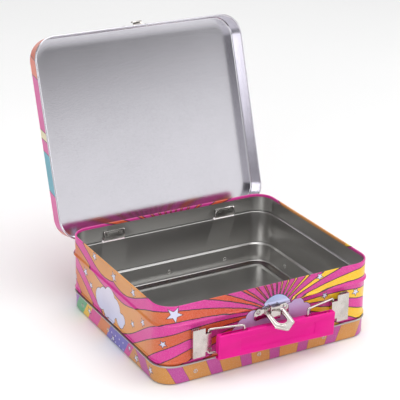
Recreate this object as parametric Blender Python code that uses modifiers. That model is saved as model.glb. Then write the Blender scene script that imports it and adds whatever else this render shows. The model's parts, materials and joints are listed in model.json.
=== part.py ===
"""Tin-plate lunch box with a hinged lid, a spring-loop latch and a swinging carrying handle.

The box stands on z = 0 with the middle of its base at the origin. Front is -Y, where the latch
and the handle sit; the lid turns on two hinges along the rear, at +Y, and is modelled open.
Units are metres.
"""

import math

import bmesh
import bpy
from mathutils import Matrix, Vector

MM = 0.001

# ---- overall sizes -------------------------------------------------------------------------
BODY_WIDTH = 197.0 * MM          # X, over the plain wall
BODY_DEPTH = 171.0 * MM          # Y, over the plain wall
RIM_HEIGHT = 67.9 * MM           # top of the open body
CORNER_RADIUS = 17.0 * MM        # plan corner of the plain wall
SHEET = 0.4 * MM                 # tin plate
FIT_GAP = 0.3 * MM               # between pieces that touch
CORNER_STEPS = 8                 # facets in a plan corner

# ---- bottom tray ---------------------------------------------------------------------------
TRAY_RIM_TOP = 16.9 * MM
TRAY_CURL_RADIUS = 0.6 * MM      # middle of the sheet in the rolled rim
TRAY_FOOT_RADIUS = 1.8 * MM      # rounded edge under the skirt
FLOOR_BEAD_INSET = 8.0 * MM      # stiffening ring pressed into the floor
FLOOR_BEAD_WIDTH = 3.6 * MM
FLOOR_BEAD_HEIGHT = 0.8 * MM

# ---- body band -----------------------------------------------------------------------------
LOWER_BEAD_Z = 19.2 * MM
LOWER_BEAD_OUT = 0.9 * MM
LOWER_BEAD_HALF = 1.2 * MM
UPPER_BEAD_DROP = 16.9 * MM      # below the rim
UPPER_BEAD_OUT = 1.5 * MM
UPPER_BEAD_HALF = 1.4 * MM
HEM_RADIUS = 0.55 * MM           # top edge turned inwards
HEM_DROP = 1.6 * MM

# ---- lid -----------------------------------------------------------------------------------
LID_CLEARANCE = 1.8 * MM         # neck to the inside of the lid's skirt
LID_RIM_RISE = 2.0 * MM          # closed lid's rim above the upper bead
LID_HEADROOM = 2.5 * MM          # closed lid's panel above the rim of the body
LID_CURL_RADIUS = 0.65 * MM
LID_EDGE_RADIUS = 1.6 * MM
LID_OPEN_ANGLE = 107.6           # degrees, from closed to its stop

# ---- hinges --------------------------------------------------------------------------------
HINGE_X = 55.8 * MM              # middle of each hinge from the centre plane
HINGE_WIDTH = 20.0 * MM
HINGE_SHEET = 0.8 * MM
KNUCKLE_RADIUS = 1.5 * MM        # middle of the rolled sheet
PIN_RADIUS = 0.8 * MM
PIN_OVERHANG = 0.6 * MM
KNUCKLE_SHARE = 0.4              # the lid's knuckle takes this much of the width
BODY_LEAF_RISE = 7.5 * MM        # above the pin
LID_LEAF_RISE = 12.0 * MM
WINDOW_MARGIN = 0.8 * MM
HINGE_RIVET_SPACING = 11.0 * MM

# ---- latch ---------------------------------------------------------------------------------
LATCH_SHEET = 0.8 * MM
LATCH_BASE_WIDTH = 32.4 * MM
LATCH_BASE_HEIGHT = 9.9 * MM
LATCH_WAIST = 0.8 * MM           # how far the wings taper in at the bridge
BRIDGE_WIDTH = 8.8 * MM
BRIDGE_OUT = 7.4 * MM            # front of the bridge from the wall
BRIDGE_FOOT_RISE = 1.2 * MM      # above the plate's lower edge
TONGUE_DROP = 1.0 * MM           # below the bridge's sides
LATCH_PIVOT_OUT = 5.2 * MM
LATCH_PIVOT_DROP = 2.3 * MM      # below the plate's upper edge
BAIL_BAR_RADIUS = 0.8 * MM
BAIL_WIDTH = 18.4 * MM
BAIL_LENGTH = 22.0 * MM          # pivot to the tip of the finger tab
BAIL_SHOULDER = 17.4 * MM        # pivot to the square of the shoulders
BAIL_OPENING = 10.0 * MM
BAIL_OPENING_END = 15.0 * MM
BAIL_THICKNESS = 1.7 * MM
BAIL_RIM = 0.9 * MM              # raised rims along both edges
BAIL_GUTTER = 0.6 * MM
BAIL_HANG = 20.0                 # degrees below level in the stored pose

# ---- catch on the lid ----------------------------------------------------------------------
CATCH_WIDTH = 30.0 * MM
CATCH_RISE = 3.6 * MM            # above the closed lid's rim
CATCH_HEIGHT = 10.4 * MM
CATCH_HOOK_WIDTH = 8.8 * MM
CATCH_LIP_OUT = 4.5 * MM         # hook, measured out from the lid's skirt
CATCH_LIP_RISE = 4.6 * MM

# ---- handle --------------------------------------------------------------------------------
BRACKET_INNER = 56.2 * MM        # edges of each bracket from the centre plane
BRACKET_OUTER = 72.6 * MM
BRACKET_RISE = 2.4 * MM          # above the lower bead
BRACKET_HEIGHT = 24.2 * MM
BRACKET_OUT = 4.2 * MM
BRACKET_SHEET = 0.8 * MM
BRACKET_FOOT = 6.6 * MM
KEEPER_WIDTH = 5.4 * MM          # part of the bracket that closes round the wire
WIRE_RADIUS = 1.0 * MM
WIRE_BEND = 1.8 * MM
WIRE_REACH = 29.5 * MM           # pivot to hook
WIRE_PIVOT_OUT = 2.0 * MM
WIRE_HIGH_INSET = 2.6 * MM       # upper arm below the bracket's top
WIRE_LOW_INSET = 1.0 * MM
WIRE_REST_ANGLE = 13.0           # degrees out from the wall in the stored pose
WIRE_OUT_ANGLE = 50.0            # degrees, swung fully out
HOOK_BITE = 3.8 * MM             # upper hook into the top of the grip
HOOK_TAIL = 2.2 * MM             # lower hook past the underside of the grip
GRIP_LENGTH = 108.0 * MM
GRIP_HEIGHT = 20.6 * MM
GRIP_THICKNESS = 5.6 * MM
GRIP_DROP = 5.0 * MM             # middle of the grip below the middle of the arms
GRIP_DROOP = 2.0                 # degrees, one end hangs lower on its wire
GRIP_WALL = 1.5 * MM
GRIP_EDGE = 0.7 * MM
GRIP_HOOK_DEPTH = 2.2 * MM       # hook axis from the back of the grip
GRIP_SLOT_SPARE = 0.5 * MM       # past each hook at the ends of its travel
GRIP_PANEL_LENGTH = 70.0 * MM
GRIP_PANEL_HEIGHT = 10.4 * MM
GRIP_PANEL_DEPTH = 0.3 * MM

# ---- rivets --------------------------------------------------------------------------------
RIVET_SHANK = 0.9 * MM
RIVET_HEAD = 1.7 * MM
RIVET_DOME = 0.8 * MM
LATCH_RIVET_X = 12.4 * MM
LATCH_RIVET_DROP = 2.9 * MM      # below the plate's upper edge
CATCH_RIVET_X = 11.0 * MM
BRACKET_RIVET_SPACING = 14.0 * MM

# ---- values that follow --------------------------------------------------------------------
FRONT = -BODY_DEPTH / 2
REAR = BODY_DEPTH / 2
TRAY_SKIRT = -SHEET / 2                                   # middle of the tray's skirt
NECK_IN = -SHEET - FIT_GAP - SHEET / 2                    # band inside the tray
LID_SKIRT = LID_CLEARANCE + SHEET / 2                     # middle of the lid's skirt
LID_SKIRT_OUT = LID_CLEARANCE + SHEET
UPPER_BEAD_Z = RIM_HEIGHT - UPPER_BEAD_DROP
LID_RIM_Z = UPPER_BEAD_Z + LID_RIM_RISE
LID_TOP = RIM_HEIGHT + LID_HEADROOM
LEAF_FACE = LID_SKIRT_OUT + FIT_GAP                       # lid leaf against the skirt
HINGE_OUT = LEAF_FACE + HINGE_SHEET / 2 + KNUCKLE_RADIUS
HINGE_Y = REAR + HINGE_OUT
HINGE_Z = LID_RIM_Z
BODY_LEAF_TOP = HINGE_Z + BODY_LEAF_RISE
LID_LEAF_TOP = HINGE_Z + LID_LEAF_RISE
WINDOW_HIGH = HINGE_Z + 1.4 * MM
LATCH_BASE_HIGH = UPPER_BEAD_Z - UPPER_BEAD_HALF - FIT_GAP
LATCH_BASE_LOW = LATCH_BASE_HIGH - LATCH_BASE_HEIGHT
LATCH_PIVOT_Z = LATCH_BASE_HIGH - LATCH_PIVOT_DROP
LATCH_RIVET_Z = LATCH_BASE_HIGH - LATCH_RIVET_DROP
BRIDGE_LOW = LATCH_BASE_LOW + BRIDGE_FOOT_RISE
BRIDGE_HIGH = UPPER_BEAD_Z + UPPER_BEAD_HALF
TONGUE_TOP = BRIDGE_HIGH - TONGUE_DROP
CATCH_LOW = LID_RIM_Z + CATCH_RISE
CATCH_HIGH = CATCH_LOW + CATCH_HEIGHT
CATCH_LIP_TOP = CATCH_LOW + CATCH_LIP_RISE
BRACKET_LOW = LOWER_BEAD_Z + BRACKET_RISE
BRACKET_HIGH = BRACKET_LOW + BRACKET_HEIGHT
WIRE_LOW = BRACKET_LOW + WIRE_LOW_INSET
WIRE_HIGH = BRACKET_HIGH - WIRE_HIGH_INSET
GRIP_Z = (WIRE_LOW + WIRE_HIGH) / 2 - GRIP_DROP
HOOK_HIGH_END = GRIP_Z + GRIP_HEIGHT / 2 - HOOK_BITE
HOOK_LOW_END = GRIP_Z - GRIP_HEIGHT / 2 - HOOK_TAIL
WIRE_PIVOT_X = BRACKET_INNER + BRACKET_SHEET + FIT_GAP + WIRE_RADIUS
HOOK_X = WIRE_PIVOT_X - WIRE_REACH * math.cos(math.radians(WIRE_REST_ANGLE))
HOOK_TRAVEL = (WIRE_REACH * math.cos(math.radians(WIRE_REST_ANGLE))
               - WIRE_REACH * math.cos(math.radians(WIRE_OUT_ANGLE)))
HOOK_INWARD = WIRE_REACH - WIRE_REACH * math.cos(math.radians(WIRE_REST_ANGLE))
GRIP_SLOT_INNER = HOOK_X - 2 * HOOK_INWARD - WIRE_RADIUS - GRIP_SLOT_SPARE
GRIP_SLOT_OUTER = HOOK_X + 2 * HOOK_TRAVEL + WIRE_RADIUS + GRIP_SLOT_SPARE
GRIP_BACK_OUT = (WIRE_PIVOT_OUT + WIRE_REACH * math.sin(math.radians(WIRE_REST_ANGLE))
                 - GRIP_HOOK_DEPTH)

FRONT_FRAME = Matrix(((0, 0, -1, 0), (-1, 0, 0, FRONT), (0, 1, 0, 0), (0, 0, 0, 1)))
REAR_FRAME = Matrix(((0, 0, 1, 0), (1, 0, 0, REAR), (0, 1, 0, 0), (0, 0, 0, 1)))
LEVEL_FRAME = Matrix(((1, 0, 0, 0), (0, -1, 0, FRONT), (0, 0, -1, 0), (0, 0, 0, 1)))
UPRIGHT_FRAME = Matrix(((1, 0, 0, 0), (0, 0, -1, FRONT), (0, 1, 0, 0), (0, 0, 0, 1)))


# ---- scene ---------------------------------------------------------------------------------
def clear_scene():
    """Remove every object that is already in the file."""
    for item in list(bpy.data.objects):
        bpy.data.objects.remove(item)


def new_collection(name):
    collection = bpy.data.collections.new(name)
    bpy.context.scene.collection.children.link(collection)
    return collection


def new_material(name, colour, roughness, metallic):
    material = bpy.data.materials.new(name)
    material.use_nodes = True
    shader = material.node_tree.nodes["Principled BSDF"]
    shader.inputs["Base Color"].default_value = (*colour, 1.0)
    shader.inputs["Roughness"].default_value = roughness
    shader.inputs["Metallic"].default_value = metallic
    return material


clear_scene()
PARTS = new_collection("lunch_box")
CUTTERS = new_collection("cutters")


def place(mesh, name, matrix=None, collection=PARTS):
    """Link a mesh as an object with its own material slot left to paint()."""
    item = bpy.data.objects.new(name, mesh)
    if matrix is not None:
        item.matrix_world = matrix
    collection.objects.link(item)
    return item


def paint(item, colour, roughness, metallic):
    """Give one object its own Principled material."""
    item.data.materials.clear()
    item.data.materials.append(new_material(item.name, colour, roughness, metallic))


def smooth(item, angle=35.0):
    item.data.shade_smooth()
    item.data.set_sharp_from_angle(angle=math.radians(angle))


def hide(item):
    """Make an object a cutter: a wire outline that isn't rendered."""
    item.hide_render = True
    item.display_type = "WIRE"
    return item


# ---- outlines ------------------------------------------------------------------------------
def arc(centre, radius, start, end, steps):
    """Points of a circular arc, angles in degrees."""
    points = []
    for step in range(steps + 1):
        angle = math.radians(start + (end - start) * step / steps)
        points.append((centre[0] + radius * math.cos(angle), centre[1] + radius * math.sin(angle)))
    return points


def strip_outline(centre_line, thickness):
    """Closed outline of a bent strip, from the middle of its sheet."""
    left, right = [], []
    last = len(centre_line) - 1
    for index, point in enumerate(centre_line):
        here = Vector(point)
        before = here - Vector(centre_line[index - 1]) if index > 0 else None
        after = Vector(centre_line[index + 1]) - here if index < last else None
        first = (before or after).normalized()
        second = (after or before).normalized()
        across = Vector((-first.y - second.y, first.x + second.x)).normalized()
        reach = thickness / 2 / max(0.4, across.dot(Vector((-first.y, first.x))))
        left.append(here + across * reach)
        right.append(here - across * reach)
    return [tuple(point) for point in left + right[::-1]]


def mirrored(half):
    """Full outline from its +X half, listed from top to bottom."""
    return half + [(-x, y) for x, y in reversed(half)]


def rounded_box(x_low, x_high, y_low, y_high, radius, steps=4):
    """Outline of a rectangle with round corners."""
    corners = ((x_high, y_high, 0), (x_low, y_high, 90), (x_low, y_low, 180), (x_high, y_low, 270))
    points = []
    for x, y, start in corners:
        inward_x = -radius if x == x_high else radius
        inward_y = -radius if y == y_high else radius
        points += arc((x + inward_x, y + inward_y), radius, start, start + 90, steps)
    return points


# ---- solids --------------------------------------------------------------------------------
def curve_to_mesh(curve_object):
    """Turn a curve into a closed mesh object with its caps welded."""
    graph = bpy.context.evaluated_depsgraph_get()
    mesh = bpy.data.meshes.new_from_object(curve_object.evaluated_get(graph))
    work = bmesh.new()
    work.from_mesh(mesh)
    bmesh.ops.remove_doubles(work, verts=work.verts, dist=1e-6)
    bmesh.ops.recalc_face_normals(work, faces=work.faces)
    work.to_mesh(mesh)
    work.free()
    matrix = curve_object.matrix_world.copy()
    name = curve_object.name
    collection = curve_object.users_collection[0]
    bpy.data.objects.remove(curve_object)
    return place(mesh, name, matrix, collection)


def prism(name, outlines, depth, matrix, collection=PARTS):
    """Extrude flat outlines, the first solid and the rest holes, to both sides of their plane."""
    curve = bpy.data.curves.new(name, "CURVE")
    curve.dimensions = "2D"
    curve.fill_mode = "BOTH"
    curve.extrude = depth / 2
    for outline in outlines:
        spline = curve.splines.new("POLY")
        spline.points.add(len(outline) - 1)
        for point, (x, y) in zip(spline.points, outline):
            point.co = (x, y, 0.0, 1.0)
        spline.use_cyclic_u = True
    item = bpy.data.objects.new(name, curve)
    item.matrix_world = matrix
    collection.objects.link(item)
    bpy.context.view_layer.update()
    return curve_to_mesh(item)


def box_cutter(name, low, high):
    """Hidden box between two corners."""
    bpy.ops.mesh.primitive_cube_add(size=1.0)
    item = bpy.context.object
    item.name = name
    for vertex in item.data.vertices:
        for axis in range(3):
            middle = (low[axis] + high[axis]) / 2
            vertex.co[axis] = middle + vertex.co[axis] * (high[axis] - low[axis])
    for owner in list(item.users_collection):
        owner.objects.unlink(item)
    CUTTERS.objects.link(item)
    return hide(item)


def rod_cutter(name, centre, axis, radius, length, segments=16):
    """Hidden round rod through a point."""
    mesh = bpy.data.meshes.new(name)
    work = bmesh.new()
    bmesh.ops.create_cone(work, cap_ends=True, segments=segments, radius1=radius, radius2=radius,
                          depth=length)
    work.to_mesh(mesh)
    work.free()
    turn = Vector(axis).to_track_quat("Z", "Y").to_matrix().to_4x4()
    return hide(place(mesh, name, Matrix.Translation(centre) @ turn, CUTTERS))


def boolean(item, cutter, operation="DIFFERENCE"):
    """Add one exact Boolean; the cutter stays as a hidden outline."""
    step = item.modifiers.new(cutter.name, "BOOLEAN")
    step.object = cutter
    step.operation = operation
    step.solver = "EXACT"
    return item


def turned(name, profile, matrix, segments=16):
    """Solid of revolution about local Z; the profile runs from its top to its bottom."""
    mesh = bpy.data.meshes.new(name)
    mesh.from_pydata([(x, 0.0, z) for x, z in profile],
                     [(i, i + 1) for i in range(len(profile) - 1)], [])
    item = place(mesh, name, matrix)
    screw = item.modifiers.new("turn", "SCREW")
    screw.axis = "Z"
    screw.steps = segments
    screw.render_steps = segments
    screw.use_merge_vertices = True
    screw.merge_threshold = 0.00001
    screw.use_smooth_shade = True
    return item


def plan_ring(offset):
    """Plan of the body grown by an offset, counter-clockwise from the right rear corner."""
    radius = CORNER_RADIUS + offset
    ring = []
    for quarter, (side_x, side_y) in enumerate(((1, 1), (-1, 1), (-1, -1), (1, -1))):
        centre = (side_x * (BODY_WIDTH / 2 - CORNER_RADIUS), side_y * (BODY_DEPTH / 2 - CORNER_RADIUS))
        ring += arc(centre, radius, 90 * quarter, 90 * quarter + 90, CORNER_STEPS)
    return ring


def swept_sheet(name, profile, closed_panel=False):
    """Tin-plate shell: a profile of (offset, height) points swept round the body's plan."""
    work = bmesh.new()
    rings = []
    for offset, height in profile:
        rings.append([work.verts.new((x, y, height)) for x, y in plan_ring(offset)])
    count = len(rings[0])
    for below, above in zip(rings, rings[1:]):
        for index in range(count):
            follow = (index + 1) % count
            work.faces.new((below[index], below[follow], above[follow], above[index]))
    if closed_panel:
        work.faces.new(rings[-1])
    bmesh.ops.recalc_face_normals(work, faces=work.faces)
    mesh = bpy.data.meshes.new(name)
    work.to_mesh(mesh)
    work.free()
    item = place(mesh, name)
    shell = item.modifiers.new("sheet", "SOLIDIFY")
    shell.thickness = SHEET
    shell.offset = 0.0
    shell.use_even_offset = True
    return item


# ---- rivets --------------------------------------------------------------------------------
def rivet(name, start, direction, stack):
    """Round-head rivet: a dome at the start, a shank through the stack, a flat head behind it."""
    half_gap = FIT_GAP / 2
    dome = arc((0.0, 0.0), 1.0, 90, 0, 4)
    profile = [(x * RIVET_HEAD, half_gap + z * RIVET_DOME) for x, z in dome]
    profile += [(RIVET_SHANK, half_gap), (RIVET_SHANK, -stack - half_gap)]
    profile += [(RIVET_HEAD * 0.85, -stack - half_gap)]
    profile += [(RIVET_HEAD * 0.85, -stack - half_gap - RIVET_DOME / 2)]
    profile += [(0.0, -stack - half_gap - RIVET_DOME / 2)]
    turn = Vector(direction).to_track_quat("Z", "Y").to_matrix().to_4x4()
    item = turned(name, profile, Matrix.Translation(start) @ turn, segments=12)
    paint(item, (0.72, 0.72, 0.71), 0.32, 1.0)
    return item


def rivet_hole(name, centre):
    """Cutter along Y that leaves the rivet's shank its clearance."""
    return rod_cutter(name, centre, (0, 1, 0), RIVET_SHANK + FIT_GAP, 8.0 * MM, 12)


# ---- body shells ---------------------------------------------------------------------------
def make_bottom_tray():
    """Shallow drawn tray: floor with a pressed ring, rounded foot, skirt with a rolled rim."""
    floor = SHEET / 2
    bead_inner = -FLOOR_BEAD_INSET - FLOOR_BEAD_WIDTH
    curl_z = TRAY_RIM_TOP - SHEET / 2 - TRAY_CURL_RADIUS
    profile = arc((TRAY_SKIRT + TRAY_CURL_RADIUS, curl_z), TRAY_CURL_RADIUS, -60, 180, 8)
    profile += arc((TRAY_SKIRT - TRAY_FOOT_RADIUS, floor + TRAY_FOOT_RADIUS), TRAY_FOOT_RADIUS,
                   0, -90, 4)
    profile += [(-FLOOR_BEAD_INSET, floor),
                (-FLOOR_BEAD_INSET - FLOOR_BEAD_WIDTH * 0.3, floor + FLOOR_BEAD_HEIGHT),
                (bead_inner + FLOOR_BEAD_WIDTH * 0.3, floor + FLOOR_BEAD_HEIGHT),
                (bead_inner, floor)]
    tray = swept_sheet("bottom_tray", profile, closed_panel=True)
    paint(tray, (0.62, 0.34, 0.13), 0.4, 0.2)
    smooth(tray)
    return tray


def half_bead(z, out, half):
    """Outward bead as (offset, height) points, bottom to top."""
    points = []
    for step in range(9):
        share = step / 8
        bulge = 0.5 - 0.5 * math.cos(2 * math.pi * share)
        points.append((-SHEET / 2 + out * bulge, z - half + 2 * half * share))
    return points


def make_body_band():
    """Rolled wall: neck inside the tray, lower bead, wall, upper bead, neck and turned-in hem."""
    bottom = SHEET / 2 + TRAY_FOOT_RADIUS
    hem_z = RIM_HEIGHT - SHEET / 2 - HEM_RADIUS
    profile = [(NECK_IN, bottom), (NECK_IN, LOWER_BEAD_Z - LOWER_BEAD_HALF - 0.5 * MM)]
    profile += half_bead(LOWER_BEAD_Z, LOWER_BEAD_OUT, LOWER_BEAD_HALF)[1:]
    profile += half_bead(UPPER_BEAD_Z, UPPER_BEAD_OUT, UPPER_BEAD_HALF)
    profile += arc((-SHEET / 2 - HEM_RADIUS, hem_z), HEM_RADIUS, 0, 180, 6)
    profile += [(-SHEET / 2 - 2 * HEM_RADIUS, hem_z - HEM_DROP)]
    band = swept_sheet("body_band", profile)
    paint(band, (0.74, 0.16, 0.38), 0.35, 0.2)
    for side, label in ((-1, "left"), (1, "right")):
        half = HINGE_WIDTH / 2 + WINDOW_MARGIN
        low = (side * HINGE_X - half, REAR - 2.0 * MM, UPPER_BEAD_Z - UPPER_BEAD_HALF)
        high = (side * HINGE_X + half, REAR + 3.0 * MM, WINDOW_HIGH)
        boolean(band, box_cutter("hinge_window_" + label, low, high))
        for index, x in enumerate(hinge_rivet_places(side)):
            boolean(band, rivet_hole(f"band_hinge_hole_{label}_{index}", (x, REAR, body_rivet_z())))
        for index, z in enumerate(bracket_rivet_places()):
            x = side * bracket_rivet_x()
            boolean(band, rivet_hole(f"band_bracket_hole_{label}_{index}", (x, FRONT, z)))
        boolean(band, rivet_hole("band_latch_hole_" + label, (side * LATCH_RIVET_X, FRONT,
                                                              LATCH_RIVET_Z)))
    smooth(band)
    return band


# ---- lid -----------------------------------------------------------------------------------
def make_lid():
    """Tray-shaped lid: flat panel, rounded edge, skirt and an outward curl round the rim."""
    curl_z = LID_RIM_Z + SHEET / 2 + LID_CURL_RADIUS
    panel = LID_TOP - SHEET / 2
    edge = (LID_SKIRT - LID_EDGE_RADIUS, panel - LID_EDGE_RADIUS)
    profile = arc((LID_SKIRT + LID_CURL_RADIUS, curl_z), LID_CURL_RADIUS, 60, -180, 8)
    profile += arc(edge, LID_EDGE_RADIUS, 0, 90, 4)
    profile += [(-CORNER_RADIUS / 2, panel)]
    lid = swept_sheet("lid_shell", profile, closed_panel=True)
    paint(lid, (0.62, 0.60, 0.66), 0.3, 0.8)
    for side, label in ((-1, "left"), (1, "right")):
        half = HINGE_WIDTH / 2 + WINDOW_MARGIN
        low = (side * HINGE_X - half, REAR + LID_SKIRT_OUT, LID_RIM_Z - 1.0 * MM)
        high = (side * HINGE_X + half, REAR + 6.0 * MM, LID_RIM_Z + 2.6 * MM)
        boolean(lid, box_cutter("curl_notch_" + label, low, high))
        for index, x in enumerate(hinge_rivet_places(side)):
            hole = (x, REAR + LID_SKIRT, lid_rivet_z())
            boolean(lid, rivet_hole(f"lid_hinge_hole_{label}_{index}", hole))
        hole = (side * CATCH_RIVET_X, FRONT - LID_SKIRT, catch_rivet_z())
        boolean(lid, rivet_hole("lid_catch_hole_" + label, hole))
    smooth(lid)
    return lid


# ---- hinges --------------------------------------------------------------------------------
def hinge_rivet_places(side):
    return [side * HINGE_X + step * HINGE_RIVET_SPACING / 2 for step in (-1, 1)]


def body_rivet_z():
    return (WINDOW_HIGH + BODY_LEAF_TOP) / 2 + 0.2 * MM


def lid_rivet_z():
    return (HINGE_Z + KNUCKLE_RADIUS + LID_LEAF_TOP) / 2 + 1.0 * MM


def catch_rivet_z():
    return (CATCH_LOW + CATCH_HIGH) / 2


def knuckle_spans(side):
    """X ranges of the lid's middle knuckle and the body's two outer ones."""
    centre = side * HINGE_X
    middle = HINGE_WIDTH * KNUCKLE_SHARE / 2
    return (centre - middle, centre + middle), (centre - HINGE_WIDTH / 2, centre + HINGE_WIDTH / 2)


def make_body_leaf(side, label):
    """Leaf inside the neck that comes out through the window and rolls round the pin."""
    inside = -SHEET - FIT_GAP - HINGE_SHEET / 2
    under = HINGE_Z - KNUCKLE_RADIUS
    line = [(inside, BODY_LEAF_TOP), (inside, under + 0.5 * MM), (inside + 0.5 * MM, under)]
    line += arc((HINGE_OUT, HINGE_Z), KNUCKLE_RADIUS, -90, 190, 12)
    outline = strip_outline(line, HINGE_SHEET)
    matrix = REAR_FRAME @ Matrix.Translation((0, 0, side * HINGE_X))
    leaf = prism("hinge_body_leaf_" + label, [outline], HINGE_WIDTH, matrix)
    paint(leaf, (0.55, 0.55, 0.53), 0.38, 1.0)
    (low_x, high_x), _ = knuckle_spans(side)
    reach = KNUCKLE_RADIUS + HINGE_SHEET
    boolean(leaf, box_cutter("body_knuckle_gap_" + label,
                             (low_x - FIT_GAP, HINGE_Y - reach - 0.3 * MM, HINGE_Z - 2 * reach),
                             (high_x + FIT_GAP, HINGE_Y + 2 * reach, HINGE_Z + 2 * reach)))
    for index, x in enumerate(hinge_rivet_places(side)):
        boolean(leaf, rivet_hole(f"body_leaf_hole_{label}_{index}",
                                 (x, REAR + inside, body_rivet_z())))
    return leaf


def make_lid_leaf(side, label):
    """Leaf riveted outside the lid's skirt, with one knuckle between the body's two."""
    face = HINGE_OUT - KNUCKLE_RADIUS
    line = [(face, LID_LEAF_TOP), (face, HINGE_Z + 2.0 * MM)]
    line += arc((HINGE_OUT, HINGE_Z), KNUCKLE_RADIUS, 180, 460, 12)
    outline = strip_outline(line, HINGE_SHEET)
    matrix = REAR_FRAME @ Matrix.Translation((0, 0, side * HINGE_X))
    leaf = prism("hinge_lid_leaf_" + label, [outline], HINGE_WIDTH, matrix)
    paint(leaf, (0.55, 0.55, 0.53), 0.38, 1.0)
    (low_x, high_x), (start_x, end_x) = knuckle_spans(side)
    reach = KNUCKLE_RADIUS + HINGE_SHEET
    ends = ((start_x - 1.0 * MM, low_x), (high_x, end_x + 1.0 * MM))
    for index, (cut_low, cut_high) in enumerate(ends):
        boolean(leaf, box_cutter(f"lid_knuckle_gap_{label}_{index}",
                                 (cut_low, HINGE_Y - 2 * reach, HINGE_Z - 2 * reach),
                                 (cut_high, HINGE_Y + 2 * reach, HINGE_Z + reach + FIT_GAP)))
    for index, x in enumerate(hinge_rivet_places(side)):
        boolean(leaf, rivet_hole(f"lid_leaf_hole_{label}_{index}", (x, REAR + face, lid_rivet_z())))
    return leaf


def make_hinge_pin(side, label):
    """Plain wire pin through the three knuckles."""
    half = HINGE_WIDTH / 2 + PIN_OVERHANG
    profile = [(0.0, half), (PIN_RADIUS * 0.7, half), (PIN_RADIUS, half - PIN_RADIUS * 0.3),
               (PIN_RADIUS, -half + PIN_RADIUS * 0.3), (PIN_RADIUS * 0.7, -half), (0.0, -half)]
    turn = Vector((1, 0, 0)).to_track_quat("Z", "Y").to_matrix().to_4x4()
    place_at = Matrix.Translation((side * HINGE_X, HINGE_Y, HINGE_Z)) @ turn
    pin = turned("hinge_pin_" + label, profile, place_at, segments=12)
    paint(pin, (0.75, 0.75, 0.74), 0.25, 1.0)
    return pin


def make_hinges():
    """Both hinges with their rivets; returns the pieces that move with the lid."""
    lid_pieces = []
    for side, label in ((-1, "left"), (1, "right")):
        make_body_leaf(side, label)
        make_hinge_pin(side, label)
        lid_pieces.append(make_lid_leaf(side, label))
        for index, x in enumerate(hinge_rivet_places(side)):
            end = "inner" if (index == 0) == (side > 0) else "outer"
            start = (x, REAR, body_rivet_z())
            rivet(f"hinge_body_rivet_{label}_{end}", start, (0, 1, 0), SHEET + FIT_GAP + HINGE_SHEET)
            start = (x, REAR + LEAF_FACE + HINGE_SHEET, lid_rivet_z())
            stack = HINGE_SHEET + FIT_GAP + SHEET
            lid_pieces.append(rivet(f"hinge_lid_rivet_{label}_{end}", start, (0, 1, 0), stack))
    return lid_pieces


# ---- latch ---------------------------------------------------------------------------------
def make_latch_base():
    """Bow-tie plate with a bridge pressed out of its middle that carries the loop's bar."""
    out = FIT_GAP + LATCH_SHEET / 2
    bridge = BRIDGE_WIDTH / 2 - LATCH_SHEET / 2
    front = BRIDGE_OUT - LATCH_SHEET / 2
    half = LATCH_BASE_WIDTH / 2
    line = [(-half, out), (-bridge, out), (-bridge, front), (bridge, front), (bridge, out), (half, out)]
    middle = (LATCH_BASE_LOW + BRIDGE_HIGH) / 2
    matrix = Matrix.Translation((0, 0, middle)) @ LEVEL_FRAME
    base = prism("latch_base", [strip_outline(line, LATCH_SHEET)], BRIDGE_HIGH - LATCH_BASE_LOW, matrix)
    paint(base, (0.80, 0.79, 0.77), 0.14, 1.0)
    corner = 3.0 * MM
    wide = BRIDGE_WIDTH / 2 + 1.0 * MM
    shape = mirrored([(wide, BRIDGE_HIGH + 1.0 * MM), (wide, LATCH_BASE_HIGH - LATCH_WAIST),
                      (half - corner, LATCH_BASE_HIGH), (half - 0.1 * MM, LATCH_BASE_HIGH - corner),
                      (half - 0.1 * MM, LATCH_BASE_LOW + corner / 2),
                      (half - corner / 2, LATCH_BASE_LOW), (wide, LATCH_BASE_LOW + LATCH_WAIST)])
    boolean(base, hide(prism("latch_shape", [shape], 30.0 * MM, UPRIGHT_FRAME, CUTTERS)), "INTERSECT")
    bead_face = FRONT - UPPER_BEAD_OUT - FIT_GAP
    boolean(base, box_cutter("bead_relief", (-2 * wide, bead_face, LATCH_BASE_HIGH),
                             (2 * wide, FRONT + 1.0 * MM, BRIDGE_HIGH + 1.0 * MM)))
    inner = BRIDGE_WIDTH / 2 - LATCH_SHEET
    boolean(base, box_cutter("tongue_mouth",
                             (-inner, FRONT - BRIDGE_OUT - 1.0 * MM, TONGUE_TOP),
                             (inner, FRONT - 2.0 * MM, BRIDGE_HIGH + 1.0 * MM)))
    boolean(base, box_cutter("bridge_foot",
                             (-wide, FRONT - BRIDGE_OUT - 1.0 * MM, LATCH_BASE_LOW - 2.0 * MM),
                             (wide, FRONT - 2.0 * MM, BRIDGE_LOW)))
    pivot = (0, FRONT - LATCH_PIVOT_OUT, LATCH_PIVOT_Z)
    boolean(base, rod_cutter("bar_hole", pivot, (1, 0, 0), BAIL_BAR_RADIUS + FIT_GAP, 2 * wide))
    for side, label in ((-1, "left"), (1, "right")):
        boolean(base, rivet_hole("latch_hole_" + label, (side * LATCH_RIVET_X, FRONT, LATCH_RIVET_Z)))
        start = (side * LATCH_RIVET_X, FRONT - FIT_GAP - LATCH_SHEET, LATCH_RIVET_Z)
        stack = LATCH_SHEET + FIT_GAP + SHEET
        rivet("latch_rivet_" + label, start, (0, -1, 0), stack)
    return base


def bail_outline(inset):
    """Outer edge of the loop, drawn in by an inset; y runs from the pivot to the finger tab."""
    half = BAIL_WIDTH / 2 - inset
    start = -BAIL_THICKNESS / 2 if inset == 0 else inset
    corner = 2.0 * MM
    edge = [(half, start)]
    edge += arc((half - corner, BAIL_SHOULDER - inset - corner), corner, 0, 60, 3)
    edge += arc((0.0, BAIL_LENGTH - inset - 3.4 * MM), 3.4 * MM, 62, 90, 2)
    return edge + [(-x, y) for x, y in reversed(edge[:-1])]


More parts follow.
